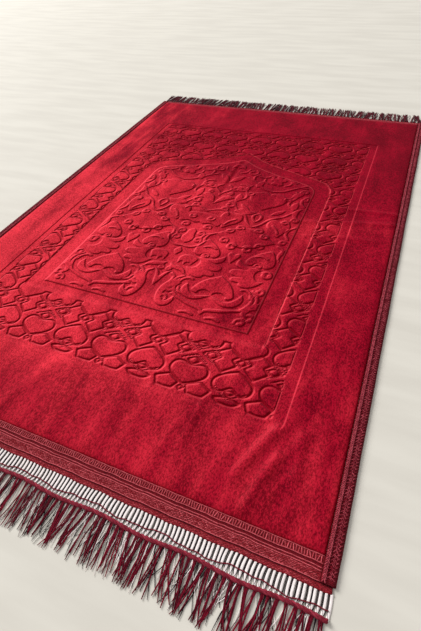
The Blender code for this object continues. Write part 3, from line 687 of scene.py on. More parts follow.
centralHalves = [
    [(0, -4), (14, -5), (30, -7), (41, -12), (46, -24), (47, -38), (41, -44), (32, -40), (22, -38),
     (10, -42), (0, -38)],
    [(0, -246), (0, -246), (5, -234), (9, -218), (16, -201), (16, -201), (7, -208), (0, -222), (0, -222)],
    [(0, -128), (0, -128), (7, -137), (7, -143), (0, -154), (0, -154)],
    [(0, 228), (0, 228), (9, 222), (16, 212), (16, 202), (16, 202), (6, 206), (0, 200), (0, 200)],
    [(0, -62), (0, -62), (8, -70), (9, -82), (13, -96), (8, -108), (0, -114), (0, -114)],
]
centralOutlines = [
    [(0, 131), (0, 131), (12, 138), (24, 150), (30, 168), (30, 168), (16, 164), (5, 150)],
    [(0, 36), (0, 36), (10, 44), (24, 58), (40, 70), (40, 70), (24, 76), (8, 64)],
    [(50, -154), (50, -154), (42, -149), (28, -147), (17, -151), (13, -160), (15, -175), (15, -175),
     (22, -167), (28, -177), (28, -177), (35, -166), (42, -175), (42, -175), (47, -165)],
    [(56, 22), (56, 22), (68, 16), (84, 14), (97, 20), (104, 30), (104, 30), (90, 31), (78, 36), (66, 33)],
    [(70, 128), (70, 128), (66, 140), (70, 152), (80, 160), (80, 160), (82, 146), (80, 134)],
    [(192, 68), (192, 68), (182, 62), (176, 50), (180, 36), (192, 26), (192, 26), (188, 40), (188, 54)],
    [(31, -221), (21, -232), (16, -248), (17, -266), (24, -282), (36, -289), (48, -284), (53, -271),
     (50, -260), (50, -260), (45, -270), (38, -277), (31, -272), (28, -258), (33, -246), (43, -236),
     (48, -226), (48, -226), (40, -219)],
    [(197, -232), (197, -232), (184, -238), (175, -250), (176, -266), (188, -274), (184, -262), (189, -252),
     (197, -248), (197, -248)],
    [(196, -118), (196, -118), (190, -108), (188, -94), (192, -82), (197, -78), (197, -78), (195, -92),
     (194, -106)],
    [(4, -178), (4, -178), (14, -183), (26, -184), (38, -191), (44, -204), (44, -204), (32, -196),
     (20, -194), (8, -190)],
    [(182, 138), (182, 138), (170, 132), (160, 120), (158, 106), (158, 106), (170, 110), (180, 122)],
]
pairedStrokes = [
    ((1.6, 2.5, 1.6), [(0, 118), (6, 121), (14, 123), (24, 127), (37, 138), (54, 153), (72, 165)]),
    ((1.4, 2.3, 1.4), [(52, 132), (60, 118), (56, 104), (50, 92), (49, 78), (58, 66)]),
    ((1.4, 2.3, 1.4), [(74, 57), (61, 42), (50, 27), (36, 17), (24, 6), (16, -9), (8, -19), (0, -24),
                       (0, -24)]),
    ((2.0, 3.0, 1.6), [(0, -283), (4, -276), (14, -272), (32, -268), (52, -261), (68, -255)]),
    ((1.3, 2.1, 1.3), [(70, -72), (80, -78), (84, -90), (80, -100)]),
    ((1.6, 2.6, 1.8), [(70, -218), (72, -234), (67, -248), (60, -257)]),
    ((1.3, 2.1, 1.3), [(12, -291), (24, -288), (36, -291)]),
    ((1.3, 2.2, 1.4), [(0, 26), (8, 17), (8, 6), (0, -6)]),
    ((1.4, 2.2, 1.4), [(40, -116), (52, -112), (64, -116)]),
    ((1.4, 2.2, 1.4), [(40, -10), (50, -20), (56, -32)]),
    ((1.4, 2.2, 1.4), [(66, -206), (76, -216), (80, -230), (76, -244)]),
    ((1.4, 2.2, 1.4), [(46, -210), (54, -208), (64, -214), (68, -226)]),
    ((1.4, 2.2, 1.4), [(26, 180), (38, 176), (50, 180), (58, 190)]),
    ((1.4, 2.2, 1.4), [(20, 150), (30, 158), (32, 170)]),
]
pairedCurls = [
    (44, 95, 8.0, 3.4, 200, -130), (15.5, -99, 9.6, 3.8, 150, -240), (37, -84, 8.8, 3.6, 215, -150),
    (37, -50, 8.4, 3.6, 130, 470), (20, -35, 8.4, 3.6, 200, -150), (53, -140, 7.0, 3.2, 190, -120),
    (84, 108, 9.5, 4.0, 100, 440), (75, -160, 10.5, 4.4, 150, -200),
    (78, 22, 8.0, 3.4, 200, -120), (81, -270, 9.5, 4.0, 200, -90),
]
centralStrokes = [
    ((1.3, 2.1, 1.3), [(60, 186), (52, 174), (54, 160)]),
    ((1.3, 2.1, 1.3), [(18, 100), (10, 92), (3, 84), (0, 74)]),
    ((1.4, 2.3, 1.4), [(50, 2), (42, 14), (26, 18), (12, 12), (0, 4)]),
    ((1.4, 2.3, 1.4), [(193, 118), (184, 104), (186, 88), (194, 78)]),
    ((1.4, 2.3, 1.4), [(196, -2), (186, -14), (184, -30), (192, -44)]),
    ((1.3, 2.2, 1.4), [(140, 172), (152, 162), (166, 154), (182, 152)]),
    ((1.3, 2.2, 1.4), [(48, -236), (52, -246), (64, -250)]),
    ((1.3, 2.2, 1.4), [(124, 208), (140, 200), (154, 190)]),
    ((1.3, 2.2, 1.4), [(66, 212), (78, 204), (90, 202)]),
    ((1.3, 2.2, 1.4), [(8, 120), (16, 112), (18, 104)]),
    ((1.4, 2.3, 1.4), [(50, -66), (40, -74), (36, -88), (38, -102), (30, -116), (16, -124), (0, -122)]),
    ((1.4, 2.2, 1.4), [(20, -206), (28, -214), (26, -228)]),
    ((1.4, 2.2, 1.4), [(14, 182), (26, 190), (30, 204)]),
]
centralCurls = [
    (24, -52, 8.5, 3.2, -30, 300), (21, -76, 8.0, 3.0, -30, 300), (23, -99, 9.0, 3.4, -30, 300),
    (20, -22, 8.0, 3.2, 20, -260), (39, 42, 13.0, 4.6, 120, -220), (41, 115, 18.0, 7.0, 120, -220),
    (41, 192, 14.0, 5.0, 60, -260), (41, 112, 7.0, 3.2, 0, 250), (182, 135, 11.0, 4.0, 250, -50),
    (180, -283, 9.0, 3.6, 200, -100), (187, -160, 10.0, 3.8, 60, 380), (36, -246, 7.0, 3.2, 60, 360),
    (172, 8, 8.0, 3.4, 20, 300), (92, 182, 7.0, 3.2, 200, -60), (150, 176, 8.0, 3.4, 20, -240),
    (60, 222, 6.0, 3.0, 200, -60), (188, -206, 9.0, 3.6, 90, -200), (186, -58, 7.0, 3.0, 40, 340),
    (24, 86, 6.0, 2.8, 200, 480), (8, -196, 5.0, 2.6, 90, 400),
]


# every motif of the field stamped at its place, and again mirrored
def drawField(leaves, blooms, gx, gy):
    def place(path, widths, into):
        for side in (-1, 1):
            made = path * (side, 1) + (axisX, 0)
            if widths is None:
                stampPad(into, gx, gy, made)
            else:
                stampLine(into, gx, gy, made, widths)

    def pair(path, widths, into):
        for flip in (-1, 1):
            made = path * (flip, 1) + (pairLine, 0)
            if widths is None:
                place(np.minimum(made, (fieldEdge, np.inf)), None, into)
            else:
                kept = made[:, 0] < fieldEdge
                if kept.sum() > 1:
                    place(made[kept], widths[kept], into)

    for half in pairedHalves:
        pair(mirroredPath(half), None, leaves)
    for points in pairedLeaves:
        pair(smoothPath(points, True, 4), None, leaves)
    for points in pairedOutlines:
        pair(smoothPath(points, True, 4), None, blooms)
    for half in centralHalves:
        place(mirroredPath(half), None, leaves)
    for points in centralOutlines:
        place(smoothPath(points, True, 4), None, blooms)
    for draw, strokes, curls in ((pair, pairedStrokes, pairedCurls), (place, centralStrokes, centralCurls)):
        for widths, points in strokes:
            path = smoothPath(points)
            draw(path, taper(len(path), *widths) + strokeSpread, blooms)
        for row in curls:
            path = curl(*row)
            draw(path, taper(len(path), *curlHalfWidths), blooms)


# The cloth's main creases: points along each, its breadth and its rise, which is negative in a trough.
creases = [
    ([(-190, 14), (-80, 4), (0, 4), (100, 13), (210, 29), (300, 47), (380, 64)], 7.0, 1.0),
    ([(250, 94), (320, 97), (383, 101)], 6.0, 0.9), ([(225, -20), (290, -6), (350, -4)], 7.0, 0.7),
    ([(-370, 96), (-330, 92), (-240, 90)], 8.0, 0.6), ([(4, 246), (1, 190), (2, 120), (6, 60)], 7.0, -0.9),
    ([(-6, 236), (-8, 180), (-5, 130)], 5.0, 0.7), ([(4, -20), (2, -120), (0, -280)], 12.0, -0.6),
    ([(296, -440), (281, -473), (264, -518)], 8.0, 1.3),
    ([(306, -478), (297, -510), (287, -550)], 8.0, 1.2),
    ([(328, -440), (331, -475), (334, -518)], 7.0, 0.9),
    ([(187, -436), (186, -470), (184, -508)], 5.0, 0.5),
    ([(174, -468), (169, -490), (162, -522)], 8.0, 0.5),
    ([(104, -438), (110, -447), (118, -456)], 4.5, 0.6),
    ([(352, -420), (357, -455), (355, -490)], 6.0, 0.6),
    ([(246, -496), (238, -522), (232, -556)], 9.0, 0.5),
    ([(-60, -462), (-70, -500), (-84, -548)], 10.0, 0.4), ([(84, -470), (76, -510), (66, -552)], 10.0, 0.4),
]


# The velvet's sizes in millimetres. Depths and heights are of what is pressed in or stands up, and each
# pair of numbers is where a change along the rug begins and ends.
velvet = {"halfWidth": 383.6, "halfLength": 563.0, "pile": 4.8, "pitch": 2.45, "edgeDrop": 2.0,
          "frameHalfWidth": 299.5, "frameMiddle": 1.5, "frameFar": 410.0, "frameFade": (-462, -424),
          "frameDepth": 0.8, "nicheFade": (-332, -306), "nicheDepth": 1.7, "fieldDepth": 1.1,
          "levelReach": 2.0, "bandHalfWidth": 233.0, "bandFar": -250.0, "latticeReach": -318.0,
          "fieldMargin": 2.5, "padRise": 0.7, "leafRise": 1.15, "bloomShare": 0.8,
          "grooveDepth": 1.3, "grooveReach": 3.4, "strokeDepth": 1.4, "strokeReach": 2.2, "edgePad": 1.8,
          "ruffleHeight": 0.9, "ruffleLength": 27.0, "ruffleMiddle": 330.0, "ruffleBreadth": 38.0,
          "ruffleFade": (-470, -395)}
clear = 8.0  # a distance from any outline that no groove or step reaches
# height, length along x, length along y and phase of the cloth's low swells
swells = [(0.22, 61, 83, 1.0), (0.18, -97, 47, 0.0), (0.12, 23, 36, 0.0)]


# signed distances to an outline over the whole grid, forty rows at a time to save memory
def rimOver(path, x, y):
    made = np.empty(x.shape)
    for row in range(0, len(x), 40):
        made[row:row + 40] = rim(path, x[row:row + 40], y[row:row + 40])
    return made


# each crease: its rise times exp(-(d / breadth)^2), with d the distance to its line
def creaseHeights(gx, gy):
    heights = np.zeros((len(gy), len(gx)))
    for path, breadth, rise in creases:
        reached = np.full(heights.shape, -99.0)
        line = smoothPath(path)
        stampLine(reached, gx, gy, line, np.zeros(len(line)), 3 * breadth)
        heights += rise * np.exp(-(reached / breadth) ** 2)
    return heights


# The velvet: pile height less the pressed levels and grooves, each a smooth step of a signed distance, plus
# the creases, the ruffle sin(2 pi s / length) beside the right border and low swells sin(x / a + y / b).
def makeVelvet():
    wide, long, pitch = velvet["halfWidth"], velvet["halfLength"], velvet["pitch"]
    # the grid is finest at its ends and where the frame's, niche's and field's straight sides run
    gx = gridLine([-wide, -wide + 4, -301, -295, -233, -227, -200, -194,
                   200, 206, 233, 239, 298, 304, wide - 4, wide],
                  [2, 6.6, 1.5, 3.2, 1.5, 2.7, 1.5, pitch, 1.5, 2.7, 1.5, 3.2, 1.5, 6.6, 2])
    gy = gridLine([-long, -long + 4, -440, -303, -297, 60, 260, 407, 413, long - 4, long],
                  [2, 7.5, 2.7, 1.5, pitch, 2.9, 3.3, 1.5, 10, 2])
    x, y = np.meshgrid(gx, gy)
    niche, field = rimOver(archPath(arch, nicheNear), x, y), rimOver(archPath(archInner, fieldNear), x, y)
    border = np.minimum(velvet["frameHalfWidth"] - np.abs(x - velvet["frameMiddle"]), velvet["frameFar"] - y)
    drawn = {key: np.full(x.shape, -clear) for key in ("pads", "beads", "lines", "leaves", "blooms")}
    drawLattice(drawn["pads"], drawn["beads"], drawn["lines"], gx, gy)
    drawField(drawn["leaves"], drawn["blooms"], gx, gy)

    # the plain band is one more pad, and the lattice stops at its own edges and at the niche
    band = np.minimum(y - lattice["plainBand"], velvet["bandHalfWidth"] - np.abs(x - axisX))
    band = np.where(y < velvet["bandFar"], band, -clear)
    inside = np.minimum(lattice["farEdge"] - y, y - lattice["nearEdge"])
    inside = np.minimum(inside, lattice["halfWidth"] - np.abs(x))
    inside = np.minimum(inside, np.maximum(-niche, fieldNear - y))
    inside = np.where(np.abs(inside) < 4, inside + velvet["edgePad"] * np.sign(inside), inside)
    nearRows = y < velvet["latticeReach"]
    pads = np.minimum(np.maximum(drawn["pads"], band), inside)
    pads = np.where((niche > 0) & ~nearRows, np.maximum(pads, clear), pads)
    beads = np.where(band > -1.0, -clear, np.minimum(drawn["beads"], inside))
    hidden = (band > -1.0) | ((niche > 0) & ~nearRows)
    lines = np.where(hidden, -clear, np.minimum(drawn["lines"], inside))
    leaves, blooms = (np.where(field > 0, np.minimum(drawn[key], field - velvet["fieldMargin"]), -clear)
                      for key in ("leaves", "blooms"))

    fades, near = step(y, *velvet["frameFade"]), step(y, *velvet["nicheFade"])
    reach = velvet["levelReach"]
    inFrame = step(border, -reach, reach) * fades
    inNiche = step(niche, -reach, reach) * near
    inField = step(field, -reach, reach)
    z = -velvet["frameDepth"] * inFrame
    z = z * (1 - inNiche) - velvet["nicheDepth"] * inNiche
    z = z * (1 - inField) - velvet["fieldDepth"] * inField
    both = np.where(field > 0, -clear, np.maximum(pads, beads))
    z += velvet["padRise"] * step(both, -0.5, 7) * np.where((niche > 0) & (field < 0), 0, 1) * inFrame
    z += velvet["leafRise"] * (step(leaves, -2.0, 2.5) + velvet["bloomShare"] * step(blooms, -2.0, 2.5))
    toRim = np.minimum(np.abs(pads), np.abs(beads))
    z -= velvet["grooveDepth"] * (1 - step(toRim, 0.0, velvet["grooveReach"]))
    z -= velvet["strokeDepth"] * step(lines, -velvet["strokeReach"], velvet["strokeReach"])
    crease = creaseHeights(gx, gy)
    z += crease
    ruffle = np.sin(2 * np.pi * (0.86 * x - 0.42 * y) / velvet["ruffleLength"] + 1.4 * np.sin(y / 31))
    beside = np.exp(-((x - velvet["ruffleMiddle"]) / velvet["ruffleBreadth"]) ** 2)
    z += velvet["ruffleHeight"] * ruffle * beside * (1 - step(y, *velvet["ruffleFade"]))
    z += sum(high * np.sin(x / along + y / over + phase) for high, along, over, phase in swells)
    edge = np.minimum(wide - np.abs(x), long - np.abs(y))
    z -= velvet["edgeDrop"] * (1 - step(edge, -0.5, 5.5))

    points, faceSets, ring = slab(x, y, velvet["pile"] + z)
    frameMark = np.clip(-border, -3, 3) * fades + 3 * (1 - fades)
    nicheMark = np.clip(np.maximum(-niche, field), -3, 3) * near + 3 * (1 - near)
    made = (pads, beads, lines, frameMark, nicheMark, leaves, blooms, crease)
    marks = {key: onSlab(values, ring) for key, values in zip(pressKeys, made)}
    piece = putPiece("velvet", points, faceSets, velvetLook, marks)
    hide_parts("velvet_panel")
    print("velvet", len(gx), len(gy), "triangles", sum(len(f) * (f.shape[1] - 2) for f in faceSets))
    return piece


velvetPiece = makeVelvet()


# The bound sides: where the tape lies, and its section as (out, up) from its inner edge.
binding = {"inner": 384.0, "near": -588.6, "far": 572.0, "waver": 0.5, "waverLength": 170.0, "stops": 300}
tapeSection = [(0.3, 0.2), (0.0, 1.8), (0.15, 3.5), (0.9, 4.2), (2.4, 4.6), (3.9, 4.2), (5.0, 3.6),
               (6.4, 3.85), (9.0, 4.1), (11.8, 3.95), (13.4, 3.7), (14.9, 3.3), (15.8, 2.4), (15.7, 1.1),
               (14.7, 0.2), (12.0, 0.0), (6.0, 0.0), (1.2, 0.0)]
# the two bands of stitches on it; a row is (lean, out, stitch length), and a row's shift grows with "shift"
stitchBands = {
    "chain": {"pitch": 2.7, "end": 2.0, "up": 4.75, "shift": 0.0, "angle": 32, "uneven": (0.07, 0.25),
              "radius": 0.72, "bow": 0.3, "shades": (0.35, 1.0), "rows": ((1, 1.75, 4.4), (-1, 3.45, 4.4))},
    "herringbone": {"pitch": 4.3, "end": 4.0, "up": 4.25, "shift": 1.0, "angle": 48, "uneven": (0.14, 0.5),
                    "radius": 0.5, "bow": 0.35, "shades": (0.0, 0.85),
                    "rows": ((1, 7.6, 6.6), (-1, 10.6, 6.6), (1, 12.4, 3.6), (-1, 8.8, 4.0))},
}


# stitches side by side along y, each row's leaning its own way
def sewBand(name, band, side, dice):
    y = np.arange(binding["near"] + band["end"], binding["far"] - band["end"], band["pitch"])
    parts, shades = [], []
    for lean, out, length in band["rows"]:
        shift = band["shift"] * (1.1 * lean + 0.3 * out)
        centres = np.stack([side * (binding["inner"] + out + 0 * y), y + shift, band["up"] + 0 * y], 1)
        angles = np.radians(90 - side * lean * band["angle"]) + dice.normal(0, band["uneven"][0], len(y))
        lengths = dice.normal(length, band["uneven"][1], len(y))
        parts.append(stitches(centres, angles, lengths, band["radius"], band["bow"]))
        shades.append(dice.uniform(*band["shades"], len(y)))
    points, faceSets = joined(parts)
    marks = {"shade": byThread(np.concatenate(shades), points)}
    return putPiece(name, points, faceSets, stitchLook, marks)


# One side's tape is its section carried along y, out = inner + u, with its outer half wavering; its inner
# roll and middle have their own tints, and its outer edge, where it turns down, is darkest, the binding's own
# dark maroon with painted shade on its turned side.
def makeBinding(side, name):
    y = np.linspace(binding["near"], binding["far"], binding["stops"])
    section = np.array(tapeSection)
    drift = binding["waver"] * waver(y, binding["waverLength"], 1.0 + side)[:, None]
    out = binding["inner"] + section[:, 0] + np.where(section[:, 0] > 4, drift * 0.5, 0.0)
    high = section[:, 1] + 0.25 * drift * (section[:, 1] > 1)
    rings = np.stack([side * out, np.broadcast_to(y[:, None], out.shape), high], -1)
    count, corners = out.shape
    index = np.arange(count * corners).reshape(count, corners)
    turned = np.roll(index, -1, axis=1)
    quads = np.stack([index[:-1], turned[:-1], turned[1:], index[1:]], -1).reshape(-1, 4)
    faceSets = [quads, np.stack([index[0, ::-1], index[-1]])]
    if side > 0:
        faceSets = [faces[:, ::-1] for faces in faceSets]
    # the dark outer edge is partly painted shade where the tape turns down
    tint = np.where(section[:, 0] < 5, 0.9, np.where(section[:, 0] > 13, 0.1, 0.55))
    tint = np.broadcast_to(tint, out.shape)
    tape = putPiece("tape" + name, rings.reshape(-1, 3), faceSets, tapeLook, {"tint": tint})
    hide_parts("binding_" + name.lower())
    dice = np.random.default_rng(11 + side)
    return [tape] + [sewBand(kind + name, band, side, dice) for kind, band in stitchBands.items()]


withVelvet = makeBinding(-1, "Left") + makeBinding(1, "Right")
print("bindings made")


headings = {"halfWidth": 384.2, "stripHalfWidth": 397.0, "cordHalfWidth": 383.5, "weaveHalfWidth": 381.5,
            "inner": 563.6, "looseReach": 6.0, "acrossPitch": 2.4, "alongPitch": 0.9, "waveLength": 58.0,
            "waveHeight": 0.55, "barPitch": 3.0, "barRadius": 0.62, "barHeight": 2.2, "cordRadius": 0.55,
            "floatRadius": 0.55, "floatsEnd": 379.0}
# (y, height, tint) across each heading and strip, from the velvet outwards
nearRibs = [(-563.15, 2.0, 0.5), (-563.9, 2.3, 0.8), (-564.8, 1.9, 0.7), (-570.4, 1.9, 0.7),
            (-571.3, 2.2, 0.8), (-572.2, 1.6, 0.1), (-574.4, 1.6, 0.1), (-575.3, 1.9, 0.6),
            (-576.6, 1.5, 0.25), (-578.2, 1.9, 0.6), (-579.2, 1.7, 0.5), (-581.2, 1.95, 0.75),
            (-583.2, 1.75, 0.6), (-585.2, 1.95, 0.75), (-587.0, 1.8, 0.6), (-587.9, 2.0, 0.6),
            (-588.6, 1.3, 0.1)]
farRibs = [(563.2, 2.0, 0.4), (564.1, 2.3, 0.8), (565.0, 1.9, 0.7), (569.6, 1.9, 0.7), (570.6, 2.2, 0.8),
           (571.9, 1.4, 0.2)]
nearStrip = [(-588.85, 1.1, 0.1), (-589.8, 1.2, 0.2), (-590.9, 1.7, 0.5), (-592.2, 1.95, 0.65),
             (-593.8, 2.0, 0.65), (-595.2, 1.7, 0.55), (-595.9, 1.0, 0.3)]
farStrip = [(572.25, 1.1, 0.0), (573.2, 1.5, 0.1), (575.0, 1.9, 0.2), (577.4, 1.9, 0.2), (579.0, 1.1, 0.0)]
# (y, height) of each cord laid along the headings, and y of each row of floats
nearCords = [(-563.95, 2.4), (-571.2, 2.4), (-575.3, 2.1), (-578.3, 2.1), (-587.9, 2.1)]
farCords = [(564.1, 2.4), (570.7, 2.3)]
headingFloats = [-580.2, -581.8, -583.4, -585.0, -586.5]
stripFloats = [-591.4, -592.8, -594.3]


# the headings' uneven run: how far a row is moved along y at x
def headingWave(x):
    return headings["waveHeight"] * waver(x, headings["waveLength"], 0.7)


# A woven end: its section interpolated between the table's rows, and shifted along y by the wave at x; the
# edges where it meets the velvet and its neighbour stay straight.
def makeEnd(name, table, halfWidth, node, slotName):
    rows = np.array(sorted(table))
    y = gridLine(list(rows[:, 0]), [headings["alongPitch"]] * (len(rows) - 1))
    x = gridLine([-halfWidth, halfWidth], [headings["acrossPitch"]])
    gx, gy = np.meshgrid(x, y)
    loose = np.clip((np.abs(gy) - headings["inner"]) / headings["looseReach"], 0, 1)
    if slotName == "heading":
        loose *= np.clip(abs(table[-1][0]) - np.abs(gy), 0, 1)
    else:
        loose *= np.clip(np.abs(gy) - abs(table[0][0]), 0, 1)
    top = np.interp(gy, rows[:, 0], rows[:, 1])
    top += 0.1 * np.sin(2 * np.pi * gx / 4.7 + gy * 2) + 0.15 * waver(gx, 90.0, 2.0)
    points, faceSets, ring = slab(gx, gy + loose * headingWave(gx), np.maximum(top, 0.6))
    tint = np.interp(gy, rows[:, 0], rows[:, 2])
    piece = putPiece(name, points, faceSets, headingLook, {"tint": onSlab(tint, ring)})
    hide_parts(node)
    return piece


# Long thin cords along x: y = base + wave, one for each height given.
def cordsAlong(name, rows, phase):
    x = np.linspace(-headings["cordHalfWidth"], headings["cordHalfWidth"], 300)
    paths = []
    for k, (y, z) in enumerate(rows):
        free = min(1.0, (abs(y) - 563.4) / headings["looseReach"])
        sway = headingWave(x) * free + 0.25 * waver(x, 31.0, phase + k)
        paths.append(np.stack([x, y + sway, z + 0.12 * waver(x, 17.0, k)], 1))
    points, faceSets = tubes(np.array(paths), headings["cordRadius"], 6)
    shades = byThread(np.linspace(0.75, 1.0, len(rows)), points)
    return putPiece(name, points, faceSets, mauveLook, {"shade": shades})


# Bars across the stitched band, side by side along x, with every third leaning, like crossed stitches.
def barsAcross(name, y, length, seed):
    dice = np.random.default_rng(seed)
    x = np.arange(-headings["weaveHalfWidth"], headings["weaveHalfWidth"], headings["barPitch"])
    lean = np.where(np.arange(len(x)) % 3 == 1, 0.34, 0.06)
    centres = np.stack([x, y + headingWave(x) * 0.5, headings["barHeight"] + 0 * x], 1)
    angles = np.pi / 2 + lean * dice.choice([-1, 1], len(x)) + dice.normal(0, 0.06, len(x))
    lengths = dice.normal(length, 0.3, len(x))
    points, faceSets = stitches(centres, angles, lengths, headings["barRadius"], 0.25)
    shades = byThread(dice.uniform(0.4, 1.0, len(x)), points)
    return putPiece(name, points, faceSets, mauveLook, {"shade": shades})


# Short floats of weft on a woven ground, row after row, each row half a pitch on.
def floats(name, rows, pitch, length, z, seed, shadeRange):
    dice = np.random.default_rng(seed)
    x = np.arange(-headings["weaveHalfWidth"], headings["floatsEnd"], pitch)
    parts, shades = [], []
    for k, y in enumerate(rows):
        shifted = x + pitch * 0.5 * (k % 2) + dice.normal(0, 0.35, len(x))
        centres = np.stack([shifted, y + headingWave(shifted) + dice.normal(0, 0.12, len(x)), z + 0 * x], 1)
        angles, lengths = dice.normal(0, 0.10, len(x)), dice.normal(length, 0.5, len(x))
        parts.append(stitches(centres, angles, lengths, headings["floatRadius"], 0.22))
        shades.append(dice.uniform(*shadeRange, len(x)))
    points, faceSets = joined(parts)
    marks = {"shade": byThread(np.concatenate(shades), points)}
    return putPiece(name, points, faceSets, mauveLook, marks)


withVelvet += [
    makeEnd("headingNear", nearRibs, headings["halfWidth"], "heading_near", "heading"),
    makeEnd("headingFar", farRibs, headings["halfWidth"], "heading_far", "heading"),
    cordsAlong("cordsNear", nearCords, 0.4),
    cordsAlong("cordsFar", farCords, 1.9),
    barsAcross("barsNear", -567.6, 6.6, 3),
    barsAcross("barsFar", 567.4, 6.0, 4),
    floats("weaveNear", headingFloats, 4.1, 3.9, 1.95, 5, (0.0, 0.9)),
]
print("headings made")


# The fringes: the near one's ladder of bare warps ends at a wound bundle, and loose ends reach out from
# there and from the far strip, leaning this way and that in a slow wave.
fringe = {"bundleY": -618.3, "bundleWave": 1.4, "bundleWaveLength": 115.0, "bundleHalfWidth": 397.8,
          "bundleHeight": 2.35, "strandTurn": 17.0, "strandRadius": 1.3, "wavyY": -610.4, "wavyHeight": 3.0,
          "wavyLength": 96.0, "wavyHalfWidth": 397.0, "wavyRadius": 0.62, "farY": 577.6,
          "leanLength": 210.0, "edge": 399.2}
ladder = {"span": (-395.0, 396.0), "pitch": 5.3, "start": -594.6, "bow": 1.1, "bowLength": 31.0,
          "parting": 2.3, "partsFrom": 0.60, "aside": 0.4, "paleAside": 2.7, "paleHigh": 0.25,
          "shadeSpread": 0.36}
# the ladder's warps: place in the group, radius and lightness of the two dark ones and of the pale flat one
warps = ((-1, 0.40, 0.0), (1, 0.34, 0.0), (0, 1.75, 0.97))
# Locks and single threads: how far they lean with the wave and on their own, how they bend, and the ranges
# of their lengths and radii, as shares of the largest, and of the height of their arcs.
tufts = {"halfWidth": 391.0, "placeSpread": 1.2, "rootHalfWidth": 1.3, "leanWave": 5.5, "leanSpread": 3.4,
         "bendSpread": 4.0, "yarnBendSpread": 1.5, "lengths": (0.80, 1.0), "radii": (0.8, 1.1),
         "lifts": (0.0, 0.6)}
threads = {"halfWidth": 394.0, "leanWave": 6.0, "leanSpread": 8.0, "bendSpread": 6.0,
           "lengths": (0.45, 1.0), "radii": (0.75, 1.25), "lifts": (0.0, 0.5)}


# y of the bundle's middle at x
def bundleLine(x):
    return fringe["bundleY"] + fringe["bundleWave"] * np.sin(2 * np.pi * x / fringe["bundleWaveLength"] + 0.6)


# y of the far end's roots, the same at every x
def farLine(x):
    return fringe["farY"] + 0 * x


# Bare warps from the strip to the bundle: two dark ones that bow to one side and part below the wavy
# thread, and a pale flat one beside them that fills the gap to the next.
def makeLadder():
    dice = np.random.default_rng(21)
    x = np.arange(*ladder["span"], ladder["pitch"])
    t = np.linspace(0, 1, 10)
    parts, shades = [], []
    bow = ladder["bow"] * np.sin(x / ladder["bowLength"] + 0.8) + dice.normal(0, 0.3, len(x))
    for part, radius, lightness in warps:
        foot = part * ladder["parting"] + dice.normal(0, 0.4, len(x))
        place = x[:, None] + bow[:, None] * np.sin(np.pi * t)
        place = place + foot[:, None] * step(t, ladder["partsFrom"], 1.0)
        aside = ladder["aside"] * part if part else ladder["paleAside"]
        place += aside + dice.normal(0, 0.2, len(x))[:, None]
        y = ladder["start"] + (bundleLine(x)[:, None] - ladder["start"]) * t
        z = 1.2 - 0.72 * step(t, 0, 0.14) + 0.8 * step(t, 0.82, 1.0) + 0.12 * abs(part)
        paths = np.stack([place, y, np.broadcast_to(z, place.shape)], -1)
        parts.append(tubes(paths, radius, 6, 1.0 if part else ladder["paleHigh"]))
        shades.append(np.clip(lightness + dice.uniform(0, ladder["shadeSpread"], len(x)), 0, 1))
    points, faceSets = joined(parts)
    marks = {"shade": byThread(np.concatenate(shades), points)}
    return putPiece("ladder", points, faceSets, threadLook, marks)


# The thick weft: three strands wound round one wavy line, centre + 1.3 cos a across and 1.0 sin a up, a
# along x; and a thin wavy thread that holds the warps.
def makeBundle():
    x = np.linspace(-fringe["bundleHalfWidth"], fringe["bundleHalfWidth"], 560)
    paths = []
    for k in range(3):
        a = 2 * np.pi * (x / fringe["strandTurn"] + k / 3)
        high = fringe["bundleHeight"] + 1.0 * np.sin(a)
        paths.append(np.stack([x, bundleLine(x) + 1.3 * np.cos(a), high], 1))
    strands = tubes(np.array(paths), fringe["strandRadius"], 6)
    thin = np.linspace(-fringe["wavyHalfWidth"], fringe["wavyHalfWidth"], 330)
    wavy = fringe["wavyY"] + fringe["wavyHeight"] * waver(thin, fringe["wavyLength"], 0.3)
    path = np.stack([thin, wavy, 1.6 + 0.3 * waver(thin, 40.0)], 1)
    holding = tubes(path[None], fringe["wavyRadius"], 6)
    shades = np.concatenate([byThread([0.35, 0.7, 1.0], strands[0]), byThread([0.25], holding[0])])
    points, faceSets = joined([strands, holding])
    return putPiece("bundle", points, faceSets, bundleLook, {"shade": shades})


# Loose ends: x = root + lean s + bend s s + sway s sin(pi (2.2 s + phase)), y = start + length s outwards,
# lying on the floor in a low arc.
def looseEnds(kind, dice, root, lean, bend, seed, startLine, sign, inset, reach, radius):
    count = len(root)
    start = startLine(root) - inset
    length = (reach - np.abs(start)) * dice.uniform(*kind["lengths"], count)
    radii = radius * dice.uniform(*kind["radii"], count)
    lift = dice.uniform(*kind["lifts"], count)
    swayDice = np.random.default_rng(seed)
    sway, phase = swayDice.normal(0, 0.7, count), swayDice.random(count)
    columns = (root, lean, bend, start, length, radii, lift, sway, phase)
    root, lean, bend, start, length, radii, lift, sway, phase = (values[:, None] for values in columns)
    s = np.linspace(0, 1, 9)
    x = root + lean * s + bend * s**2 + sway * np.sin(np.pi * (s * 2.2 + phase)) * s
    y = start + sign * length * s
    z = radii + 0.15 + lift * np.sin(np.pi * np.clip(s * 1.15, 0, 1)) + (1 - s) ** 3 * 0.9
    width = radii * np.interp(s, [0, 0.8, 1], [1.0, 0.95, 0.55])
    return np.stack([np.clip(x, -fringe["edge"], fringe["edge"]), y, z], -1), width


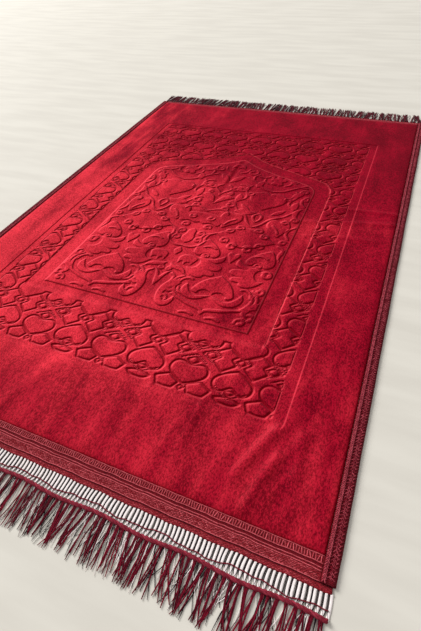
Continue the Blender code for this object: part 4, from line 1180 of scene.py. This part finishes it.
# locks of yarn side by side, the yarns of each lock close at the root and spread at the tip
def makeTufts(name, count, yarns, seed, shadeRange, spread, **ends):
    dice = np.random.default_rng(seed)
    middle = np.linspace(-tufts["halfWidth"], tufts["halfWidth"], count)
    middle = middle + dice.normal(0, tufts["placeSpread"], count)
    lean = tufts["leanWave"] * waver(middle, fringe["leanLength"], 1.3)
    lean = np.repeat(lean + dice.normal(0, tufts["leanSpread"], count), yarns)
    lean = lean + dice.normal(0, spread, len(lean))
    aside = np.linspace(-tufts["rootHalfWidth"], tufts["rootHalfWidth"], yarns)
    root = np.repeat(middle, yarns) + np.tile(aside, count)
    bend = np.repeat(dice.normal(0, tufts["bendSpread"], count), yarns)
    bend = bend + dice.normal(0, tufts["yarnBendSpread"], len(bend))
    paths, width = looseEnds(tufts, dice, root, lean, bend, seed + 1, **ends)
    points, faceSets = tubes(paths, width, 6, 0.8)
    shades = byThread(dice.uniform(*shadeRange, len(root)), points)
    return putPiece(name, points, faceSets, yarnLook, {"shade": shades})


# single thin threads between the locks, mostly dark, with a share of pale ones
def makeThreads(name, count, seed, pale, **ends):
    dice = np.random.default_rng(seed)
    root = np.sort(dice.uniform(-threads["halfWidth"], threads["halfWidth"], count))
    lean = threads["leanWave"] * waver(root, fringe["leanLength"], 1.3)
    lean = lean + dice.normal(0, threads["leanSpread"], count)
    bend = dice.normal(0, threads["bendSpread"], count)
    paths, width = looseEnds(threads, dice, root, lean, bend, seed + 1, **ends)
    points, faceSets = tubes(paths, width, 4)
    shades = dice.choice([0.05, 0.2, 0.5, 0.6, 0.95], count, p=[0.84 - pale, 0.06, 0.05, 0.05, pale])
    return putPiece(name, points, faceSets, threadLook, {"shade": byThread(shades, points)})


nearEnd, farEnd = {"startLine": bundleLine, "sign": -1}, {"startLine": farLine, "sign": 1}
withVelvet += [
    makeEnd("stripNear", nearStrip, headings["stripHalfWidth"], "fringe_near", "fringe"),
    makeEnd("stripFar", farStrip, headings["stripHalfWidth"], "fringe_far", "fringe"),
    floats("weaveStrip", stripFloats, 4.6, 4.0, 1.8, 6, (0.0, 0.6)),
    makeLadder(),
    makeBundle(),
    makeTufts("tuftsNear", 96, 3, 31, (0.25, 1.0), 3.4, inset=0.5, reach=672.0, radius=0.9, **nearEnd),
    makeThreads("threadsNear", 430, 41, 0.48, inset=0.3, reach=673.5, radius=0.42, **nearEnd),
    makeTufts("tuftsFar", 92, 5, 51, (0.0, 0.6), 2.6, inset=0.0, reach=633.5, radius=0.95, **farEnd),
    makeThreads("threadsFar", 330, 61, 0.16, inset=0.0, reach=634.5, radius=0.5, **farEnd),
]
print("fringes made")


# The floor and its material: a plain pale plane, a little under the rug.
floorLooks = {"dark": (0.67, 0.635, 0.56, 1), "light": (0.73, 0.695, 0.615, 1), "half": 6.0, "under": -0.0002}


# one square face from four corners, with a faint tone along it
def makeFloor():
    look, tree, surface, vector = newLook("floorLook")
    tone = noiseOf(tree, stretched(tree, vector, (0.5, 3.0, 1.0), (0, 0, 0.1)), 9.0, 3.0, 0.5)
    colour = mixColour(tree, fade(tree, tone, 0.3, 0.7), floorLooks["dark"], floorLooks["light"])
    finishSurface(tree, surface, colour, {"Roughness": 0.75, "Specular IOR Level": 0.15})
    half, under = floorLooks["half"], floorLooks["under"]
    mesh = bpy.data.meshes.new("floor")
    mesh.from_pydata([(x * half, y * half, under) for x, y in ((-1, -1), (1, -1), (1, 1), (-1, 1))], [],
                     [(0, 1, 2, 3)])
    mesh.materials.append(look)
    floor = bpy.data.objects.new("floor", mesh)
    bpy.context.collection.objects.link(floor)
    return floor


makeFloor()

light = {"place": (-12.6, 4.4, 8.2), "aim": (0.0, 0.0, 0.0), "size": 7.0, "power": 2750.0,
         "fillColour": (0.99, 0.985, 1.0, 1), "fillStrength": 0.54}


# a matrix from its three columns, which are its own x, y and z directions, and its place
def placed(place, right, up, back):
    matrix = np.eye(4)
    matrix[:3, 0], matrix[:3, 1], matrix[:3, 2], matrix[:3, 3] = right, up, back, place
    return Matrix(matrix.tolist())


# looks along -z, so the z column is the way back from the aim
def aimed(place, aim):
    back = np.array(place, float) - np.array(aim, float)
    back /= np.linalg.norm(back)
    right = np.cross((0, 0, 1), back)
    right /= np.linalg.norm(right)
    up = np.cross(back, right)
    return placed(place, right, up, back)


keyData = bpy.data.lights.new("windowLight", "AREA")
keyData.shape = "SQUARE"
keyData.size = light["size"]
keyData.energy = light["power"]
keyLight = bpy.data.objects.new("windowLight", keyData)
keyLight.matrix_world = aimed(light["place"], light["aim"])
bpy.context.collection.objects.link(keyLight)

world = bpy.data.worlds.new("softRoom")
world.use_nodes = True
world.node_tree.nodes["Background"].inputs["Color"].default_value = light["fillColour"]
world.node_tree.nodes["Background"].inputs["Strength"].default_value = light["fillStrength"]
bpy.context.scene.world = world
bpy.context.scene.view_settings.view_transform = "Standard"

view = {"place": (0.3529, -0.7123 + velvetMiddle / 1000, 0.5028), "heading": -27.15, "down": 45.93,
        "roll": -5.66, "lens": 24.03}
heading, down, roll = np.radians([view["heading"], view["down"], view["roll"]])
forward = np.array([np.sin(heading) * np.cos(down), np.cos(heading) * np.cos(down), -np.sin(down)])
level = np.array([np.cos(heading), -np.sin(heading), 0.0])
upright = np.cross(level, forward)
cameraData = bpy.data.cameras.new("camera")
cameraData.lens = view["lens"]
cameraData.sensor_width = 36.0
cameraData.clip_start = 0.02
camera = bpy.data.objects.new("camera", cameraData)
camera.matrix_world = placed(view["place"], level * np.cos(roll) + upright * np.sin(roll),
                             upright * np.cos(roll) - level * np.sin(roll), -forward)
bpy.context.collection.objects.link(camera)
bpy.context.scene.camera = camera
print("stage made")
